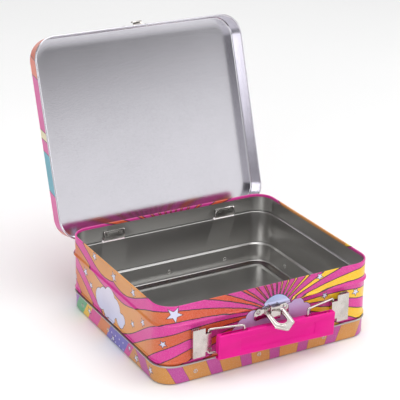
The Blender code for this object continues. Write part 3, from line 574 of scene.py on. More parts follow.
@dataclass(frozen=True)
class BandPrint(Litho):
    """Sunburst at the front and the rear whose rays meet in the middle of each side.

    Attributes:
        burst: The rays.
        sun_radius: Radius of the disc in front of the rays.
        corner: Distance from the middle past which the rays droop.
        droop: How far they droop by the middle of the side.
        red: Radii over which the orange loses its red.
        pale: Radii over which the orange turns tan.
        deep: Radii over which the pink loses its depth.
        yellow: Distances right of the middle over which orange gives way to yellow.
        yellow_end: Distance right of the middle where yellow ends.
    """

    burst: Burst = Burst(5.0, 43.5, 29, 3.2, 103.0, 0.5, 0.24, 0.26)
    sun_radius: float = 14.2
    corner: float = 84.0
    droop: float = 33.0
    red: Point2 = (14.0, 80.0)
    pale: Point2 = (84.0, 150.0)
    deep: Point2 = (14.0, 90.0)
    yellow: Point2 = (2.0, 9.0)
    yellow_end: float = 130.0
    bank: Cloud = Cloud(((-31.5, 33.0, 4.8), (-25.5, 38.0, 5.6), (-17.0, 42.6, 6.2), (-10.0, 38.0, 9.0),
                         (4.0, 36.0, 11.0), (17.0, 39.0, 8.6), (24.6, 43.6, 6.6), (31.6, 38.0, 6.6),
                         (34.0, 31.0, 5.0), (24.0, 30.0, 9.0), (-20.0, 30.0, 9.0), (4.0, 27.0, 13.0)))
    back_bank: Cloud = Cloud(((0.0, 32.0, 9.0), (11.0, 34.5, 7.5), (20.0, 31.0, 6.5), (27.5, 27.0, 5.0),
                              (15.0, 27.0, 8.0), (0.0, 27.0, 9.0)))
    side_cloud: Cloud = Cloud(((-199.0, 31.0, 9.2), (-191.5, 36.0, 8.2), (-181.0, 39.2, 9.2),
                               (-171.0, 34.4, 8.6), (-162.4, 27.4, 6.8), (-158.2, 29.6, 4.6),
                               (-178.4, 22.6, 5.8), (-187.4, 27.0, 7.6), (-178.0, 31.0, 9.0)))
    other_cloud: Cloud = Cloud(((150.0, 33.0, 9.0), (161.0, 38.5, 9.4), (173.0, 37.0, 10.0),
                                (186.0, 32.0, 8.6), (194.0, 27.0, 6.0), (168.0, 28.0, 9.0)))
    stars: tuple[Star, ...] = stars(
        (-86.6, 61.0, 6.6, 0.15), (-95.6, 35.4, 3.0), (45.6, 64.6, 3.0), (51.3, 46.3, 2.7),
        (82.0, 42.7, 3.2), (-209.8, 64.8, 3.6), (-173.4, 61.4, 4.4, 0.5), (-138.4, 62.4, 3.8),
        (-228.4, 43.0, 4.0), (-217.7, 35.0, 3.0), (-122.0, 43.7, 3.3), (-139.6, 34.4, 2.9),
        (124.0, 40.0, 3.2), (136.0, 27.0, 2.6), (214.0, 42.0, 3.8), (228.0, 29.0, 2.8),
        (200.0, 61.0, 4.2), (150.0, 62.0, 3.4), (-250.0, 30.0, 3.0), (246.0, 60.0, 4.6),
        (-280.0, 60.0, 4.2), (-262.0, 60.0, 3.0), (-318.0, 32.0, 3.4), (272.0, 36.0, 3.4),
        (-338.0, 27.0, 2.8), (326.0, 44.0, 3.4), (338.0, 28.0, 2.8))

    def design(self, sheet: NodeSheet, around: Term, up: Term) -> Socket:
        """Rays, pink against orange on the left and yellow on the right, then clouds and stars.

        Args:
            sheet: Tree to build in.
            around: Print coordinate round the sheet.
            up: Print coordinate up the sheet.

        Returns:
            The colour.
        """
        shift = self.burst.around * (1.0 - around.size() / (2 * QUARTER_TURN))
        across = QUARTER_TURN - ((around - shift).size() - QUARTER_TURN).size()
        past = (across - self.corner).most(0.0) * (math.pi / (QUARTER_TURN - self.corner))
        fallen = up + (1.0 - past.cos()) * (self.droop / 2)
        second, gap, radius = self.burst.fields(sheet, across, fallen)
        hot = sheet.mix(radius.rise(*self.red), ORANGE_RED, ORANGE)
        warm = sheet.mix(radius.rise(*self.pale), hot, TAN)
        right = around.rise(*self.yellow) * around.below(self.yellow_end)
        bright = sheet.mix(right, warm, YELLOW)
        pink = sheet.mix(radius.rise(*self.deep), PINK_DEEP, PINK)
        colour = sheet.mix(second, pink, bright)
        colour = sheet.mix(gap.below(self.line_width), colour, LINE)
        sky = sheet.mix(up.rise(46.0, 58.0), ink("dcd6f4"), ink("a9bbe8"))
        disc = sheet.length(across, up - self.burst.up) - self.sun_radius
        vapour = sheet.mix(up.rise(30.0, 48.0), ink("d98ed2"), LAVENDER)
        off_the_rear = around.size().below(QUARTER_TURN) * QUARTER_TURN
        pale = sheet.mix(up.rise(18.0, 46.0), ink("cdd0ee"), CLOUD_PALE)
        for edge, fill in ((disc, sky), (self.bank.edge(sheet, around, up), vapour),
                           (self.back_bank.edge(sheet, across, up) + off_the_rear, vapour),
                           (self.side_cloud.edge(sheet, around, up), pale),
                           (self.other_cloud.edge(sheet, around, up), pale)):
            colour = self.outlined(sheet, colour, edge, fill)
        return self.starred(sheet, colour, around, up)


@dataclass(frozen=True)
class TrayPrint(Litho):
    """Upright bands that fan out from far below, with odd blocks of colour on the sides.

    Attributes:
        burst: The bands, as rays.
        thin: Share of the usual line width between bands.
        lean: How far blocks lean for their height.
        blocks: Reach from the front's middle where each block starts and ends, and its colour.
        pitch: Distance between dots, round and up the sheet.
        dot: Radius of a dot.
        dot_reach: Reach between which dots lie.
    """

    burst: Burst = Burst(3.2, -150.0, 37, 0.0, 90.0, 0.36)
    thin: float = 0.4
    lean: float = 0.7
    blocks: tuple[tuple[float, float, Colour], ...] = (
        (148.0, 157.0, PINK), (157.0, 190.0, BLUE_VIOLET), (190.0, 208.0, ink("e0803c")),
        (208.0, 226.0, PINK), (226.0, 236.0, YELLOW), (236.0, 252.0, GREEN),
        (252.0, 275.0, ink("9a58b8")))
    pitch: Point2 = (7.0, 6.0)
    dot: float = 0.8
    dot_reach: Point2 = (153.0, 184.0)
    stars: tuple[Star, ...] = stars(
        (-133.4, 6.6, 3.6), (-109.0, 8.0, 3.4), (-145.6, 10.0, 2.4), (-176.0, 4.6, 2.6),
        (-222.0, 9.0, 3.0), (121.0, 8.0, 3.4), (160.0, 9.0, 2.8), (226.0, 8.0, 3.4))

    def design(self, sheet: NodeSheet, around: Term, up: Term) -> Socket:
        """Tan and magenta bands, blocks past the front corners, dots, stars.

        Args:
            sheet: Tree to build in.
            around: Print coordinate round the sheet.
            up: Print coordinate up the sheet.

        Returns:
            The colour.
        """
        reach = around.size()
        folded = QUARTER_TURN - (reach - QUARTER_TURN).size()
        side = sheet.calc("SIGN", around)
        second, gap, _ = self.burst.fields(sheet, folded * side - self.burst.around, up)
        colour = sheet.mix(second, ink("c0469c"), ink("d49142"))
        colour = sheet.mix(gap.below(self.line_width * self.thin), colour, ink("8a4a50"))
        leaning = reach + up * self.lean
        for low, high, fill in self.blocks:
            colour = sheet.mix(leaning.within(low, high), colour, fill)
        from_dot = [((place / pitch).fract() - 0.5).size() * pitch
                    for place, pitch in zip((reach, up), self.pitch)]
        dots = sheet.length(*from_dot).below(self.dot) * reach.within(*self.dot_reach)
        colour = sheet.mix(dots, colour, STAR_PALE)
        return self.starred(sheet, colour, around, up)


@dataclass(frozen=True)
class LidSkirtPrint(Litho):
    """Broad leaning bands in the colours of the burst, mirrored left to right.

    Attributes:
        lean: How far bands lean for their height.
        wave: Waves per millimetre of the bands' edges, in radians, and their height.
        start: Reach from the front's middle that counts as 0.
        bands: Reach where each band starts, and its colour.
    """

    lean: float = 0.5
    wave: Point2 = (0.09, 2.0)
    start: float = 30.0
    bands: tuple[tuple[float, Colour], ...] = (
        (22.0, PINK), (44.0, YELLOW), (60.0, PINK), (84.0, ORANGE), (106.0, ink("e8745a")),
        (124.0, PINK), (168.0, ink("f0e2b6")), (177.0, PINK), (190.0, TEAL), (222.0, PINK),
        (258.0, ORANGE), (284.0, YELLOW), (306.0, PINK), (336.0, ORANGE))

    def design(self, sheet: NodeSheet, around: Term, up: Term) -> Socket:
        """Bands with a dark line between them.

        Args:
            sheet: Tree to build in.
            around: Print coordinate round the sheet.
            up: Print coordinate up the sheet.

        Returns:
            The colour.
        """
        pace, height = self.wave
        reach = around.size() + up * self.lean + (around * pace).sin() * height - self.start
        colour, gap = ORANGE, None
        for start, fill in self.bands:
            colour = sheet.mix(reach.above(start), colour, fill)
            edge = (reach - start).size()
            gap = edge if gap is None else gap.least(edge)
        return sheet.mix(gap.below(self.line_width), colour, LINE)


@dataclass(frozen=True)
class LidPanelPrint(Litho):
    """Half sun low on the panel, rays to the edges, clouds and stars.

    Attributes:
        burst: The rays.
        thin: Share of the usual line width between rays.
        sun_radius: Radius of the sun.
        red: Radii over which the orange loses its red.
        yellow: Distances from the middle over which orange gives way to yellow.
        bank: Bank of cloud before the sun.
        clouds: Free clouds.
    """

    burst: Burst = Burst(0.0, -30.0, 29, 6.0, 130.0, 0.5, 0.16)
    thin: float = 0.6
    sun_radius: float = 24.0
    red: Point2 = (25.0, 110.0)
    yellow: Point2 = (-4.0, 4.0)
    bank: Cloud = Cloud(((-58.0, -42.0, 17.0), (-36.0, -36.0, 17.0), (-12.0, -40.0, 16.0),
                         (10.0, -36.0, 17.0), (34.0, -40.0, 17.0), (58.0, -44.0, 16.0),
                         (-20.0, -58.0, 24.0), (24.0, -58.0, 24.0)))
    clouds: tuple[Cloud, ...] = (
        Cloud(((-66.0, 44.0, 9.0), (-54.0, 49.0, 10.0), (-42.0, 45.0, 9.0), (-54.0, 41.0, 8.0))),
        Cloud(((46.0, 32.0, 8.0), (57.0, 36.0, 9.0), (69.0, 32.0, 8.0), (57.0, 29.0, 7.0))))
    stars: tuple[Star, ...] = stars(
        (-20.0, 62.0, 6.0), (24.0, 52.0, 4.6), (-76.0, 8.0, 5.0), (78.0, 2.0, 5.6),
        (74.0, 66.0, 5.0), (-82.0, 68.0, 4.2), (-36.0, 22.0, 4.4), (38.0, 10.0, 4.2),
        (-84.0, -64.0, 4.8), (84.0, -66.0, 4.8))

    def design(self, sheet: NodeSheet, around: Term, up: Term) -> Socket:
        """Rays, sun, clouds, stars.

        Args:
            sheet: Tree to build in.
            around: Print coordinate across the panel.
            up: Print coordinate along the panel.

        Returns:
            The colour.
        """
        second, gap, radius = self.burst.fields(sheet, around.size(), up)
        warm = sheet.mix(radius.rise(*self.red), ORANGE_RED, ORANGE)
        bright = sheet.mix(around.rise(*self.yellow), warm, YELLOW)
        colour = sheet.mix(second, PINK, bright)
        colour = sheet.mix(gap.below(self.line_width * self.thin), colour, LINE)
        glow = sheet.mix(radius.rise(6.0, self.sun_radius), YELLOW, ink("f59a4a"))
        colour = self.outlined(sheet, colour, radius - self.sun_radius, glow)
        vapour = sheet.mix(up.rise(-70.0, -20.0), LAVENDER, CLOUD_PALE)
        colour = self.outlined(sheet, colour, self.bank.edge(sheet, around, up), vapour)
        for cloud in self.clouds:
            colour = self.outlined(sheet, colour, cloud.edge(sheet, around, up), CLOUD_PALE)
        return self.starred(sheet, colour, around, up)


@dataclass(frozen=True)
class SatinTin:
    """Bare rolled tinplate: fine grain, faint stains, satin sheen.

    Attributes:
        name: Name of the material.
        tone: Main colour.
        shade: Colour of stains and grain.
        rough: Middle roughness.
        grain: Grain per metre along each axis.
        speckle: Strength of the specks.
        stained: Strength of the stains.
        relief: Strength of the bump.
    """

    name: str
    tone: Colour
    shade: Colour
    rough: float
    grain: Point3
    speckle: float = 0.16
    stained: float = 0.9
    relief: float = 0.05

    def build(self) -> Material:
        """Make the material.

        Returns:
            The material.
        """
        sheet = NodeSheet(self.name)
        rolled = sheet.grain(self.grain, 4.0, 0.6)
        specks = sheet.grain(1400.0, 2.0, 0.7)
        stain = sheet.grain(26.0, 4.0, 0.6)
        blend = (rolled - 0.5) * 0.5 + (specks - 0.5) * (4.0 * self.speckle) + stain * self.stained
        sheet.set(base_color=sheet.mix(blend.rise(0.1, 0.9), self.tone, self.shade), metallic=1.0,
                  roughness=self.rough + 0.15 * self.stained * (stain - 0.5) + 0.06 * (rolled - 0.5))
        sheet.bump(rolled * 0.5 + specks * 0.5, self.relief, 0.0003)
        return sheet.material


@dataclass(frozen=True)
class BrightPlate:
    """Nickel-plated pressed steel with light scratches and dull spots.

    Attributes:
        name: Name of the material.
        tone: Main colour.
        rough: Middle roughness.
        dulled: Strength of the dull spots.
        relief: Strength of the bump.
    """

    name: str
    tone: Colour
    rough: float
    dulled: float = 0.5
    relief: float = 0.02

    def build(self) -> Material:
        """Make the material.

        Returns:
            The material.
        """
        sheet = NodeSheet(self.name)
        haze = sheet.grain(120.0, 3.0)
        scratch = sheet.grain((2600.0, 400.0, 300.0), 2.0).rise(0.62, 0.72)
        sheet.set(base_color=sheet.mix(haze.rise(0.3, 0.8) * self.dulled, self.tone, ink("9d9992")),
                  metallic=1.0, roughness=self.rough + 0.16 * (haze - 0.4) + 0.10 * scratch)
        sheet.bump(sheet.grain(260.0, 2.0) + scratch * 0.15, self.relief, 0.0006)
        return sheet.material


@dataclass(frozen=True)
class PinkPlastic:
    """Moulded plastic with a fine sand-blast texture, flow marks and a painted highlight on its corners.

    Attributes:
        name: Name of the material.
        tone: Main colour.
        deep: Colour of the flow marks.
        dull_patches_and_edge_highlight: Strength of the painted highlight, a lighter pink on the most
            convex corners.
        rough: Least roughness.
        scatter: Metres that red, green and blue light travel under the skin.
    """

    name: str
    tone: Colour
    deep: Colour
    dull_patches_and_edge_highlight: float = 0.25
    rough: float = 0.34
    scatter: Point3 = (0.004, 0.001, 0.002)

    def build(self) -> Material:
        """Make the material.

        Returns:
            The material.
        """
        sheet = NodeSheet(self.name)
        flow = sheet.grain((30.0, 60.0, 120.0), 3.0)
        sand = sheet.grain(2400.0, 2.0)
        corner = Term(sheet, sheet.node("ShaderNodeNewGeometry").outputs["Pointiness"])
        colour = sheet.mix(flow.rise(0.3, 0.8) * 0.6, self.tone, self.deep)
        # painted highlight: lighter pink where the surface is most convex, on corners and edges
        colour = sheet.mix(corner.rise(0.52, 0.60) * self.dull_patches_and_edge_highlight, colour, ink("ff6ab8"))
        sheet.set(base_color=colour, roughness=self.rough + 0.12 * flow + 0.06 * sand,
                  specular_ior_level=0.22, subsurface_weight=0.06, subsurface_radius=self.scatter)
        sheet.bump(sand * 0.6 + flow, 0.10, 0.0004)
        return sheet.material


@dataclass(frozen=True)
class Paper:
    """Plain pale floor."""

    name: str = "pale_floor"
    rough: float = 0.85

    def build(self) -> Material:
        """Make the material.

        Returns:
            The material.
        """
        sheet = NodeSheet(self.name)
        mottle = sheet.grain(3.0, 2.0)
        sheet.set(base_color=sheet.mix(mottle, ink("fafafa"), WHITE), roughness=self.rough)
        return sheet.material


@dataclass
class Finishes:
    """Every finish of the box, made once."""

    band: Material = field(default_factory=BandPrint("print_on_band").build)
    tray: Material = field(default_factory=TrayPrint("print_on_tray").build)
    skirt: Material = field(default_factory=LidSkirtPrint("print_on_lid_skirt").build)
    panel: Material = field(default_factory=LidPanelPrint("print_on_lid_panel").build)
    inside: Material = field(default_factory=SatinTin(
        "tin_inside_box", ink("b9b8b6"), ink("aaa9a7"), 0.30, (24.0, 160.0, 500.0), 0.02, 0.3, 0.003).build)
    lid_inside: Material = field(default_factory=SatinTin(
        "tin_inside_lid", ink("d9d7de"), ink("bdbbc3"), 0.17, (420.0, 900.0, 900.0), 0.34, 0.3).build)
    bare_edge: Material = field(default_factory=SatinTin(
        "tin_edge", ink("a5a4a2"), ink("7b7a78"), 0.32, (400.0, 400.0, 400.0)).build)
    bright: Material = field(default_factory=BrightPlate("bright_nickel", ink("cfc9c5"), 0.10).build)
    satin: Material = field(default_factory=BrightPlate("satin_nickel", ink("d3cdc8"), 0.24).build)
    dull: Material = field(default_factory=BrightPlate("dull_zinc", ink("d2d0cd"), 0.15).build)
    rivet: Material = field(default_factory=BrightPlate("rivet_metal", ink("d8d6d3"), 0.24).build)
    grip: Material = field(default_factory=PinkPlastic("pink_plastic", ink("e6008e"), ink("d4007f")).build)


# ---- making meshes -------------------------------------------------------------------------
def placed(name: str, data: bpy.types.ID) -> Item:
    """Put data into the scene.

    Args:
        name: Name of the object.
        data: Its mesh, light or camera.

    Returns:
        The object, at the origin.
    """
    item = bpy.data.objects.new(name, data)
    bpy.context.scene.collection.objects.link(item)
    return item


def poured(work: bmesh.types.BMesh, mesh: bpy.types.Mesh) -> bpy.types.Mesh:
    """Write a working mesh into a mesh and free it.

    Args:
        work: The working mesh.
        mesh: Mesh to fill.

    Returns:
        The filled mesh.
    """
    work.to_mesh(mesh)
    work.free()
    return mesh


def settle(item: Item) -> Item:
    """Apply an object's modifiers.

    Args:
        item: The object.

    Returns:
        The object, with a plain mesh.
    """
    bpy.context.view_layer.update()
    graph = bpy.context.evaluated_depsgraph_get()
    item.data = bpy.data.meshes.new_from_object(item.evaluated_get(graph), depsgraph=graph,
                                                preserve_all_data_layers=True)
    item.modifiers.clear()
    return item


def soften(item: Item, angle: float = 38.0) -> Item:
    """Shade smooth with creases.

    Args:
        item: The object.
        angle: Least angle of a crease, in degrees.

    Returns:
        The object.
    """
    item.data.shade_smooth()
    item.data.set_sharp_from_angle(angle=math.radians(angle))
    return item


def show(item: Item, body: Body, slot: Slot, *nodes: str) -> Item:
    """Tie a finished piece to the frame.

    Args:
        item: The piece.
        body: Body that it rides on.
        slot: Slot of its finish; not used.
        nodes: Nodes that it stands for.

    Returns:
        The piece.
    """
    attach(item, body.value)
    if nodes:
        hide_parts(*nodes)
    LOG.info("%s rides on %s", item.name, body.value)
    return item


def hinge_gaps(low: Point2, high: Point2) -> list[tuple[Vector, Vector]]:
    """Boxes to cut out at both hinges.

    Args:
        low: Lowest y and z.
        high: Highest y and z.

    Returns:
        Lowest and highest corner of each box.
    """
    return [(Vector((side * HINGE_X - GAP_HALF, *low)), Vector((side * HINGE_X + GAP_HALF, *high)))
            for side in (-1, 1)]


def cut_boxes(item: Item, boxes: list[tuple[Vector, Vector]]) -> Item:
    """Cut boxes out of an object and keep its materials and print coordinates.

    Args:
        item: The object.
        boxes: Lowest and highest corner of each box.

    Returns:
        The object.
    """
    work = bmesh.new()
    for low, high in boxes:
        matrix = Matrix.Translation((low + high) / 2) @ Matrix.Diagonal((*(high - low), 1.0))
        bmesh.ops.create_cube(work, size=1.0, matrix=matrix)
    mesh = poured(work, bpy.data.meshes.new("window_cutter"))
    mesh.materials.append(item.data.materials[-1])
    cutter = placed("window_cutter", mesh)
    step = item.modifiers.new("windows", "BOOLEAN")
    step.object = cutter
    step.solver = "EXACT"
    step.material_mode = "TRANSFER"
    settle(item)
    bpy.data.objects.remove(cutter)
    return item


# ---- swept shells --------------------------------------------------------------------------
def arc(centre: Point2, radius: float, start: float, end: float, steps: int) -> list[Point2]:
    """Points of a circular arc.

    Args:
        centre: Its centre.
        radius: Its radius.
        start: Angle of the first point, in degrees.
        end: Angle of the last point, in degrees.
        steps: Stretches between the points.

    Returns:
        The points.
    """
    turns = [math.radians(start + (end - start) * step / steps) for step in range(steps + 1)]
    return [(centre[0] + radius * math.cos(t), centre[1] + radius * math.sin(t)) for t in turns]


@dataclass(frozen=True)
class Plan:
    """Rounded rectangle that every shell of the box follows."""

    width: float
    depth: float
    corner: float = 17.0 * MM
    corner_steps: int = 18
    side_steps: int = 14

    def ring(self, offset: float) -> list[Point3]:
        """One turn round the plan.

        Args:
            offset: How far outside the plain wall the ring lies.

        Returns:
            Points (x, y, around), counter-clockwise from the rear's middle. around is 0 at the
            front's middle and is measured on the plain wall.
        """
        half_x, half_y = self.width / 2 - self.corner, self.depth / 2 - self.corner
        quarter = math.pi / 2 * self.corner
        radius = self.corner + offset
        points: list[Point3] = []
        around = -(2 * half_x + 2 * half_y + 2 * quarter)
        half = self.side_steps // 2
        sides = (((0.0, half_y), (0, 1), (-1, 0), half_x, half),
                 ((-half_x, half_y), (-1, 0), (0, -1), 2 * half_y, self.side_steps),
                 ((-half_x, -half_y), (0, -1), (1, 0), 2 * half_x, self.side_steps),
                 ((half_x, -half_y), (1, 0), (0, 1), 2 * half_y, self.side_steps),
                 ((half_x, half_y), (0, 1), (-1, 0), half_x, half))
        for start, out, along, length, steps in sides:
            for step in range(steps):
                run = length * step / steps
                points.append((start[0] + out[0] * radius + along[0] * run,
                               start[1] + out[1] * radius + along[1] * run, around + run))
            around += length
            if len(points) < 4 * (self.side_steps + self.corner_steps):
                centre = (start[0] + along[0] * length, start[1] + along[1] * length)
                base = math.degrees(math.atan2(out[1], out[0]))
                turned = arc(centre, radius, base, base + 90, self.corner_steps)
                points += [(x, y, around + quarter * step / self.corner_steps)
                           for step, (x, y) in enumerate(turned[:-1])]
                around += quarter
        points.append((0.0, half_y + radius, around))
        return points


Ring = list[bmesh.types.BMVert]


@dataclass
class Shell:
    """Sheet of tin swept round a plan, with print coordinates on both skins.

    Attributes:
        name: Piece name.
        plan: Plan to follow.
        line: Middle of the sheet as (offset, height) points.
        raw: Stretches of the line, from its start, whose outer skin is bare edge.
        printed: Stretches after those that carry the side's print; the rest carry the panel's.
        flip: True where the printed skin is on the right of the line's direction.
        panel: True to close the last ring with a flat panel.
        sheet: Thickness.
        sharpest: Least cosine by which a corner of the line is mitred.
    """

    name: str
    plan: Plan
    line: list[Point2]
    raw: int
    printed: int
    flip: bool = False
    panel: bool = False
    sheet: float = SHEET
    sharpest: float = 0.4

    def zone(self, stretch: int) -> Zone:
        """Finish of the printed skin over one stretch of the line.

        Args:
            stretch: Index of the stretch.

        Returns:
            The finish.
        """
        if stretch < self.raw:
            return Zone.EDGE
        return Zone.PRINT if stretch < self.raw + self.printed else Zone.FLAT

    def skins(self) -> tuple[list[Point2], list[Point2]]:
        """Both skins of the sheet.

        Returns:
            Skins on the left and on the right of the line's direction.
        """
        left, right = [], []
        last = len(self.line) - 1
        for index, point in enumerate(self.line):
            here = Vector(point)
            before = (here - Vector(self.line[index - 1])).normalized() if index else None
            after = (Vector(self.line[index + 1]) - here).normalized() if index < last else None
            first, second = before or after, after or before
            across = Vector((-first.y - second.y, first.x + second.x)).normalized()
            mitre = max(self.sharpest, across.dot(Vector((-first.y, first.x))))
            reach = self.sheet / 2 / mitre
            left.append(tuple(here + across * reach))
            right.append(tuple(here - across * reach))
        return left, right

    def build(self, materials: list[Material]) -> Item:
        """Make the closed shell.

        Args:
            materials: Materials by zone.

        Returns:
            The shell's object, at the origin.
        """
        work = bmesh.new()
        places = work.loops.layers.uv.new("print")
        around = [point[2] for point in self.plan.ring(0.0)]
        skins = [[self.ring(work, offset, height) for offset, height in skin] for skin in self.skins()]
        outer, inner = reversed(skins) if self.flip else skins
        for skin, shared in ((outer, None), (inner, Zone.INSIDE)):
            for index, (low, high) in enumerate(zip(skin, skin[1:])):
                zone = self.zone(index) if shared is None else shared
                self.join(work, places, around, low, high, zone)
        self.join(work, places, around, outer[0], inner[0], self.zone(0))
        if self.panel:
            for skin, zone in ((outer, Zone.FLAT), (inner, Zone.INSIDE)):
                face = work.faces.new(skin[-1])
                face.material_index = zone
                for loop in face.loops:
                    loop[places].uv = (loop.vert.co.x / PRINT_UNIT, loop.vert.co.y / PRINT_UNIT)
        else:
            self.join(work, places, around, outer[-1], inner[-1], self.zone(len(self.line) - 2))
        bmesh.ops.recalc_face_normals(work, faces=work.faces)
        mesh = poured(work, bpy.data.meshes.new(self.name))
        for material in materials:
            mesh.materials.append(material)
        return placed(self.name, mesh)

    def ring(self, work: bmesh.types.BMesh, offset: float, height: float) -> Ring:
        """Vertices of one ring; the closing point is the first one again."""
        return [work.verts.new((x, y, height)) for x, y, _ in self.plan.ring(offset)[:-1]]

    def join(self, work: bmesh.types.BMesh, places: bmesh.types.BMLayerItem, around: list[float],
             low: Ring, high: Ring, zone: Zone) -> None:
        """Fill between two rings and lay the print coordinates.

        Args:
            work: Mesh being made.
            places: Layer of the print coordinates.
            around: Print coordinate round the sheet at each vertex, and at the closing point.
            low: First ring.
            high: Second ring.
            zone: Finish of the faces.
        """
        flat = self.panel and zone == Zone.FLAT
        for index in range(len(low)):
            follow = (index + 1) % len(low)
            face = work.faces.new((low[index], low[follow], high[follow], high[index]))
            face.material_index = zone
            face.smooth = True
            turns = (around[index], around[index + 1], around[index + 1], around[index])
            for loop, turn in zip(face.loops, turns):
                x, y, z = loop.vert.co
                first, second = (x, y) if flat else (turn, z)
                loop[places].uv = (first / PRINT_UNIT, second / PRINT_UNIT)


# ---- pieces refined from the frame ---------------------------------------------------------
@dataclass(frozen=True)
class Refined:
    """Copy of a frame node with merged faces and rolled edges.

    Attributes:
        node: The node.
        body: Body that it rides on.
        slot: Slot of its finish.
        edge: Width of the rolled edges, or 0 for none.
        segments: Facets across a rolled edge.
        merge: Distance under which vertices are merged.
        level: Angle in degrees under which neighbouring faces become one.
        keen: Least angle in degrees of an edge that is rolled.
        crease: Least angle in degrees of a crease in the shading.
    """

    node: str
    body: Body
    slot: Slot
    edge: float
    segments: int = 2
    merge: float = 0.002 * MM
    level: float = 1.0
    keen: float = 40.0
    crease: float = 30.0

    def build(self, frame: dict, material: Material) -> Item:
        """Make the piece and hide the node it stands for.

        Args:
            frame: The loaded frame.
            material: Finish of the piece.

        Returns:
            The piece, riding on its body.
        """
        mesh = frame["nodes"][self.node].data.copy()
        work = bmesh.new()
        work.from_mesh(mesh)
        bmesh.ops.remove_doubles(work, verts=work.verts, dist=self.merge)
        bmesh.ops.dissolve_limit(work, angle_limit=math.radians(self.level), verts=work.verts,
                                 edges=work.edges)
        poured(work, mesh).materials.clear()
        mesh.materials.append(material)
        item = placed(self.node + "_finished", mesh)
        if self.edge:
            rolled = item.modifiers.new("rolled_edges", "BEVEL")
            rolled.width = self.edge
            rolled.segments = self.segments
            rolled.limit_method = "ANGLE"
            rolled.angle_limit = math.radians(self.keen)
            rolled.use_clamp_overlap = True
            settle(item)
        work = bmesh.new()
        work.from_mesh(item.data)
        bmesh.ops.triangulate(work, faces=work.faces)
        poured(work, item.data)
        return show(soften(item, self.crease), self.body, self.slot, self.node)


# ---- geometry nodes ------------------------------------------------------------------------
class Weave:
    """A Geometry Nodes tree and short ways to add to it."""

    def __init__(self, name: str, *sizes: str) -> None:
        """Start a tree that takes geometry, sizes and a material.

        Args:
            name: Name of the tree.
            sizes: Names of its sizes.
        """
        self.tree = bpy.data.node_groups.new(name, "GeometryNodeTree")
        face = self.tree.interface
        kinds = {"Geometry": "NodeSocketGeometry", **dict.fromkeys(sizes, "NodeSocketFloat"),
                 "Material": "NodeSocketMaterial"}
        for label, kind in kinds.items():
            face.new_socket(label, in_out="INPUT", socket_type=kind)
        face.new_socket("Geometry", in_out="OUTPUT", socket_type="NodeSocketGeometry")
        self.inputs = self.tree.nodes.new("NodeGroupInput").outputs
        self.output = self.tree.nodes.new("NodeGroupOutput")
        self.sizes = [self.inputs[label] for label in sizes]

    def add(self, kind: str, links: dict[str, object], **settings: object) -> Socket:
        """Add a node.

        Args:
            kind: Type of the node.
            links: What goes into each named input.
            settings: Properties of the node.

        Returns:
            Its first output.
        """
        node = self.tree.nodes.new(kind)
        for name, value in settings.items():
            setattr(node, name, value)
        for name, value in links.items():
            feed(self.tree, node.inputs[name], value)
        return node.outputs[0]

    def calc(self, operation: str, first: object, second: object) -> Socket:
        """Add a Math node.

        Args:
            operation: What it does.
            first: First number.
            second: Second number.

        Returns:
            Its result.
        """
        node = self.tree.nodes.new("ShaderNodeMath")
        node.operation = operation
        feed(self.tree, node.inputs[0], first)
        feed(self.tree, node.inputs[1], second)
        return node.outputs[0]

    def part_of(self, length: Socket, share: float) -> Socket:
        """Length times a share."""
        return self.calc("MULTIPLY", length, share)

    def moved(self, piece: Socket, height: object, scale: object = (1.0, 1.0, 1.0)) -> Socket:
        """Scale a piece and lift it.

        Args:
            piece: The piece.
            height: How far up it goes.
            scale: Its scale along each axis.

        Returns:
            The piece.
        """
        lift = self.add("ShaderNodeCombineXYZ", {"Z": height})
        return self.add("GeometryNodeTransform", {"Geometry": piece, "Translation": lift,
                                                  "Scale": scale})

    def squeezed(self, height: object) -> Socket:
        """Scale that squeezes or stretches upwards only."""
        return self.add("ShaderNodeCombineXYZ", {"X": 1.0, "Y": 1.0, "Z": height})

    def joined(self, *pieces: Socket) -> Socket:
        """Join pieces.

        Args:
            pieces: The pieces.

        Returns:
            One piece.
        """
        join = self.tree.nodes.new("GeometryNodeJoinGeometry")
        for piece in pieces:
            self.tree.links.new(piece, join.inputs[0])
        return join.outputs[0]

    def spread(self, piece: Socket) -> bpy.types.NodeTree:
        """Put a piece on every point, its Z along the point's outward attribute.

        Args:
            piece: The piece.

        Returns:
            The finished tree.
        """
        facing = self.add("GeometryNodeInputNamedAttribute", {"Name": "outward"},
                          data_type="FLOAT_VECTOR")
        turn = self.add("FunctionNodeAlignRotationToVector", {"Vector": facing}, axis="Z")
        return self.finish(self.add("GeometryNodeInstanceOnPoints", {
            "Points": self.inputs["Geometry"], "Instance": piece, "Rotation": turn}))

    def finish(self, geometry: Socket) -> bpy.types.NodeTree:
        """Realize, shade smooth, set the material and end the tree.

        Args:
            geometry: What the tree has made.

        Returns:
            The finished tree.
        """
        real = self.add("GeometryNodeRealizeInstances", {"Geometry": geometry})
        smooth = self.add("GeometryNodeSetShadeSmooth", {"Geometry": real})
        coat = self.add("GeometryNodeSetMaterial", {"Geometry": smooth,
                                                    "Material": self.inputs["Material"]})
        self.tree.links.new(coat, self.output.inputs[0])
        return self.tree


def run_tree(tree: bpy.types.NodeTree, name: str, base: bpy.types.Mesh,
             values: dict[str, object]) -> Item:
    """Evaluate a tree over a base mesh.

    Args:
        tree: The tree.
        name: Name of the piece.
        base: Points or lines that the tree starts from.
        values: Value of each named input.

    Returns:
        The piece, as a plain mesh at the origin.
    """
    item = placed(name, base)
    modifier = item.modifiers.new(name, "NODES")
    modifier.node_group = tree
    for socket in tree.interface.items_tree:
        if socket.in_out == "INPUT" and socket.name in values:
            modifier[socket.identifier] = values[socket.name]
    return settle(item)


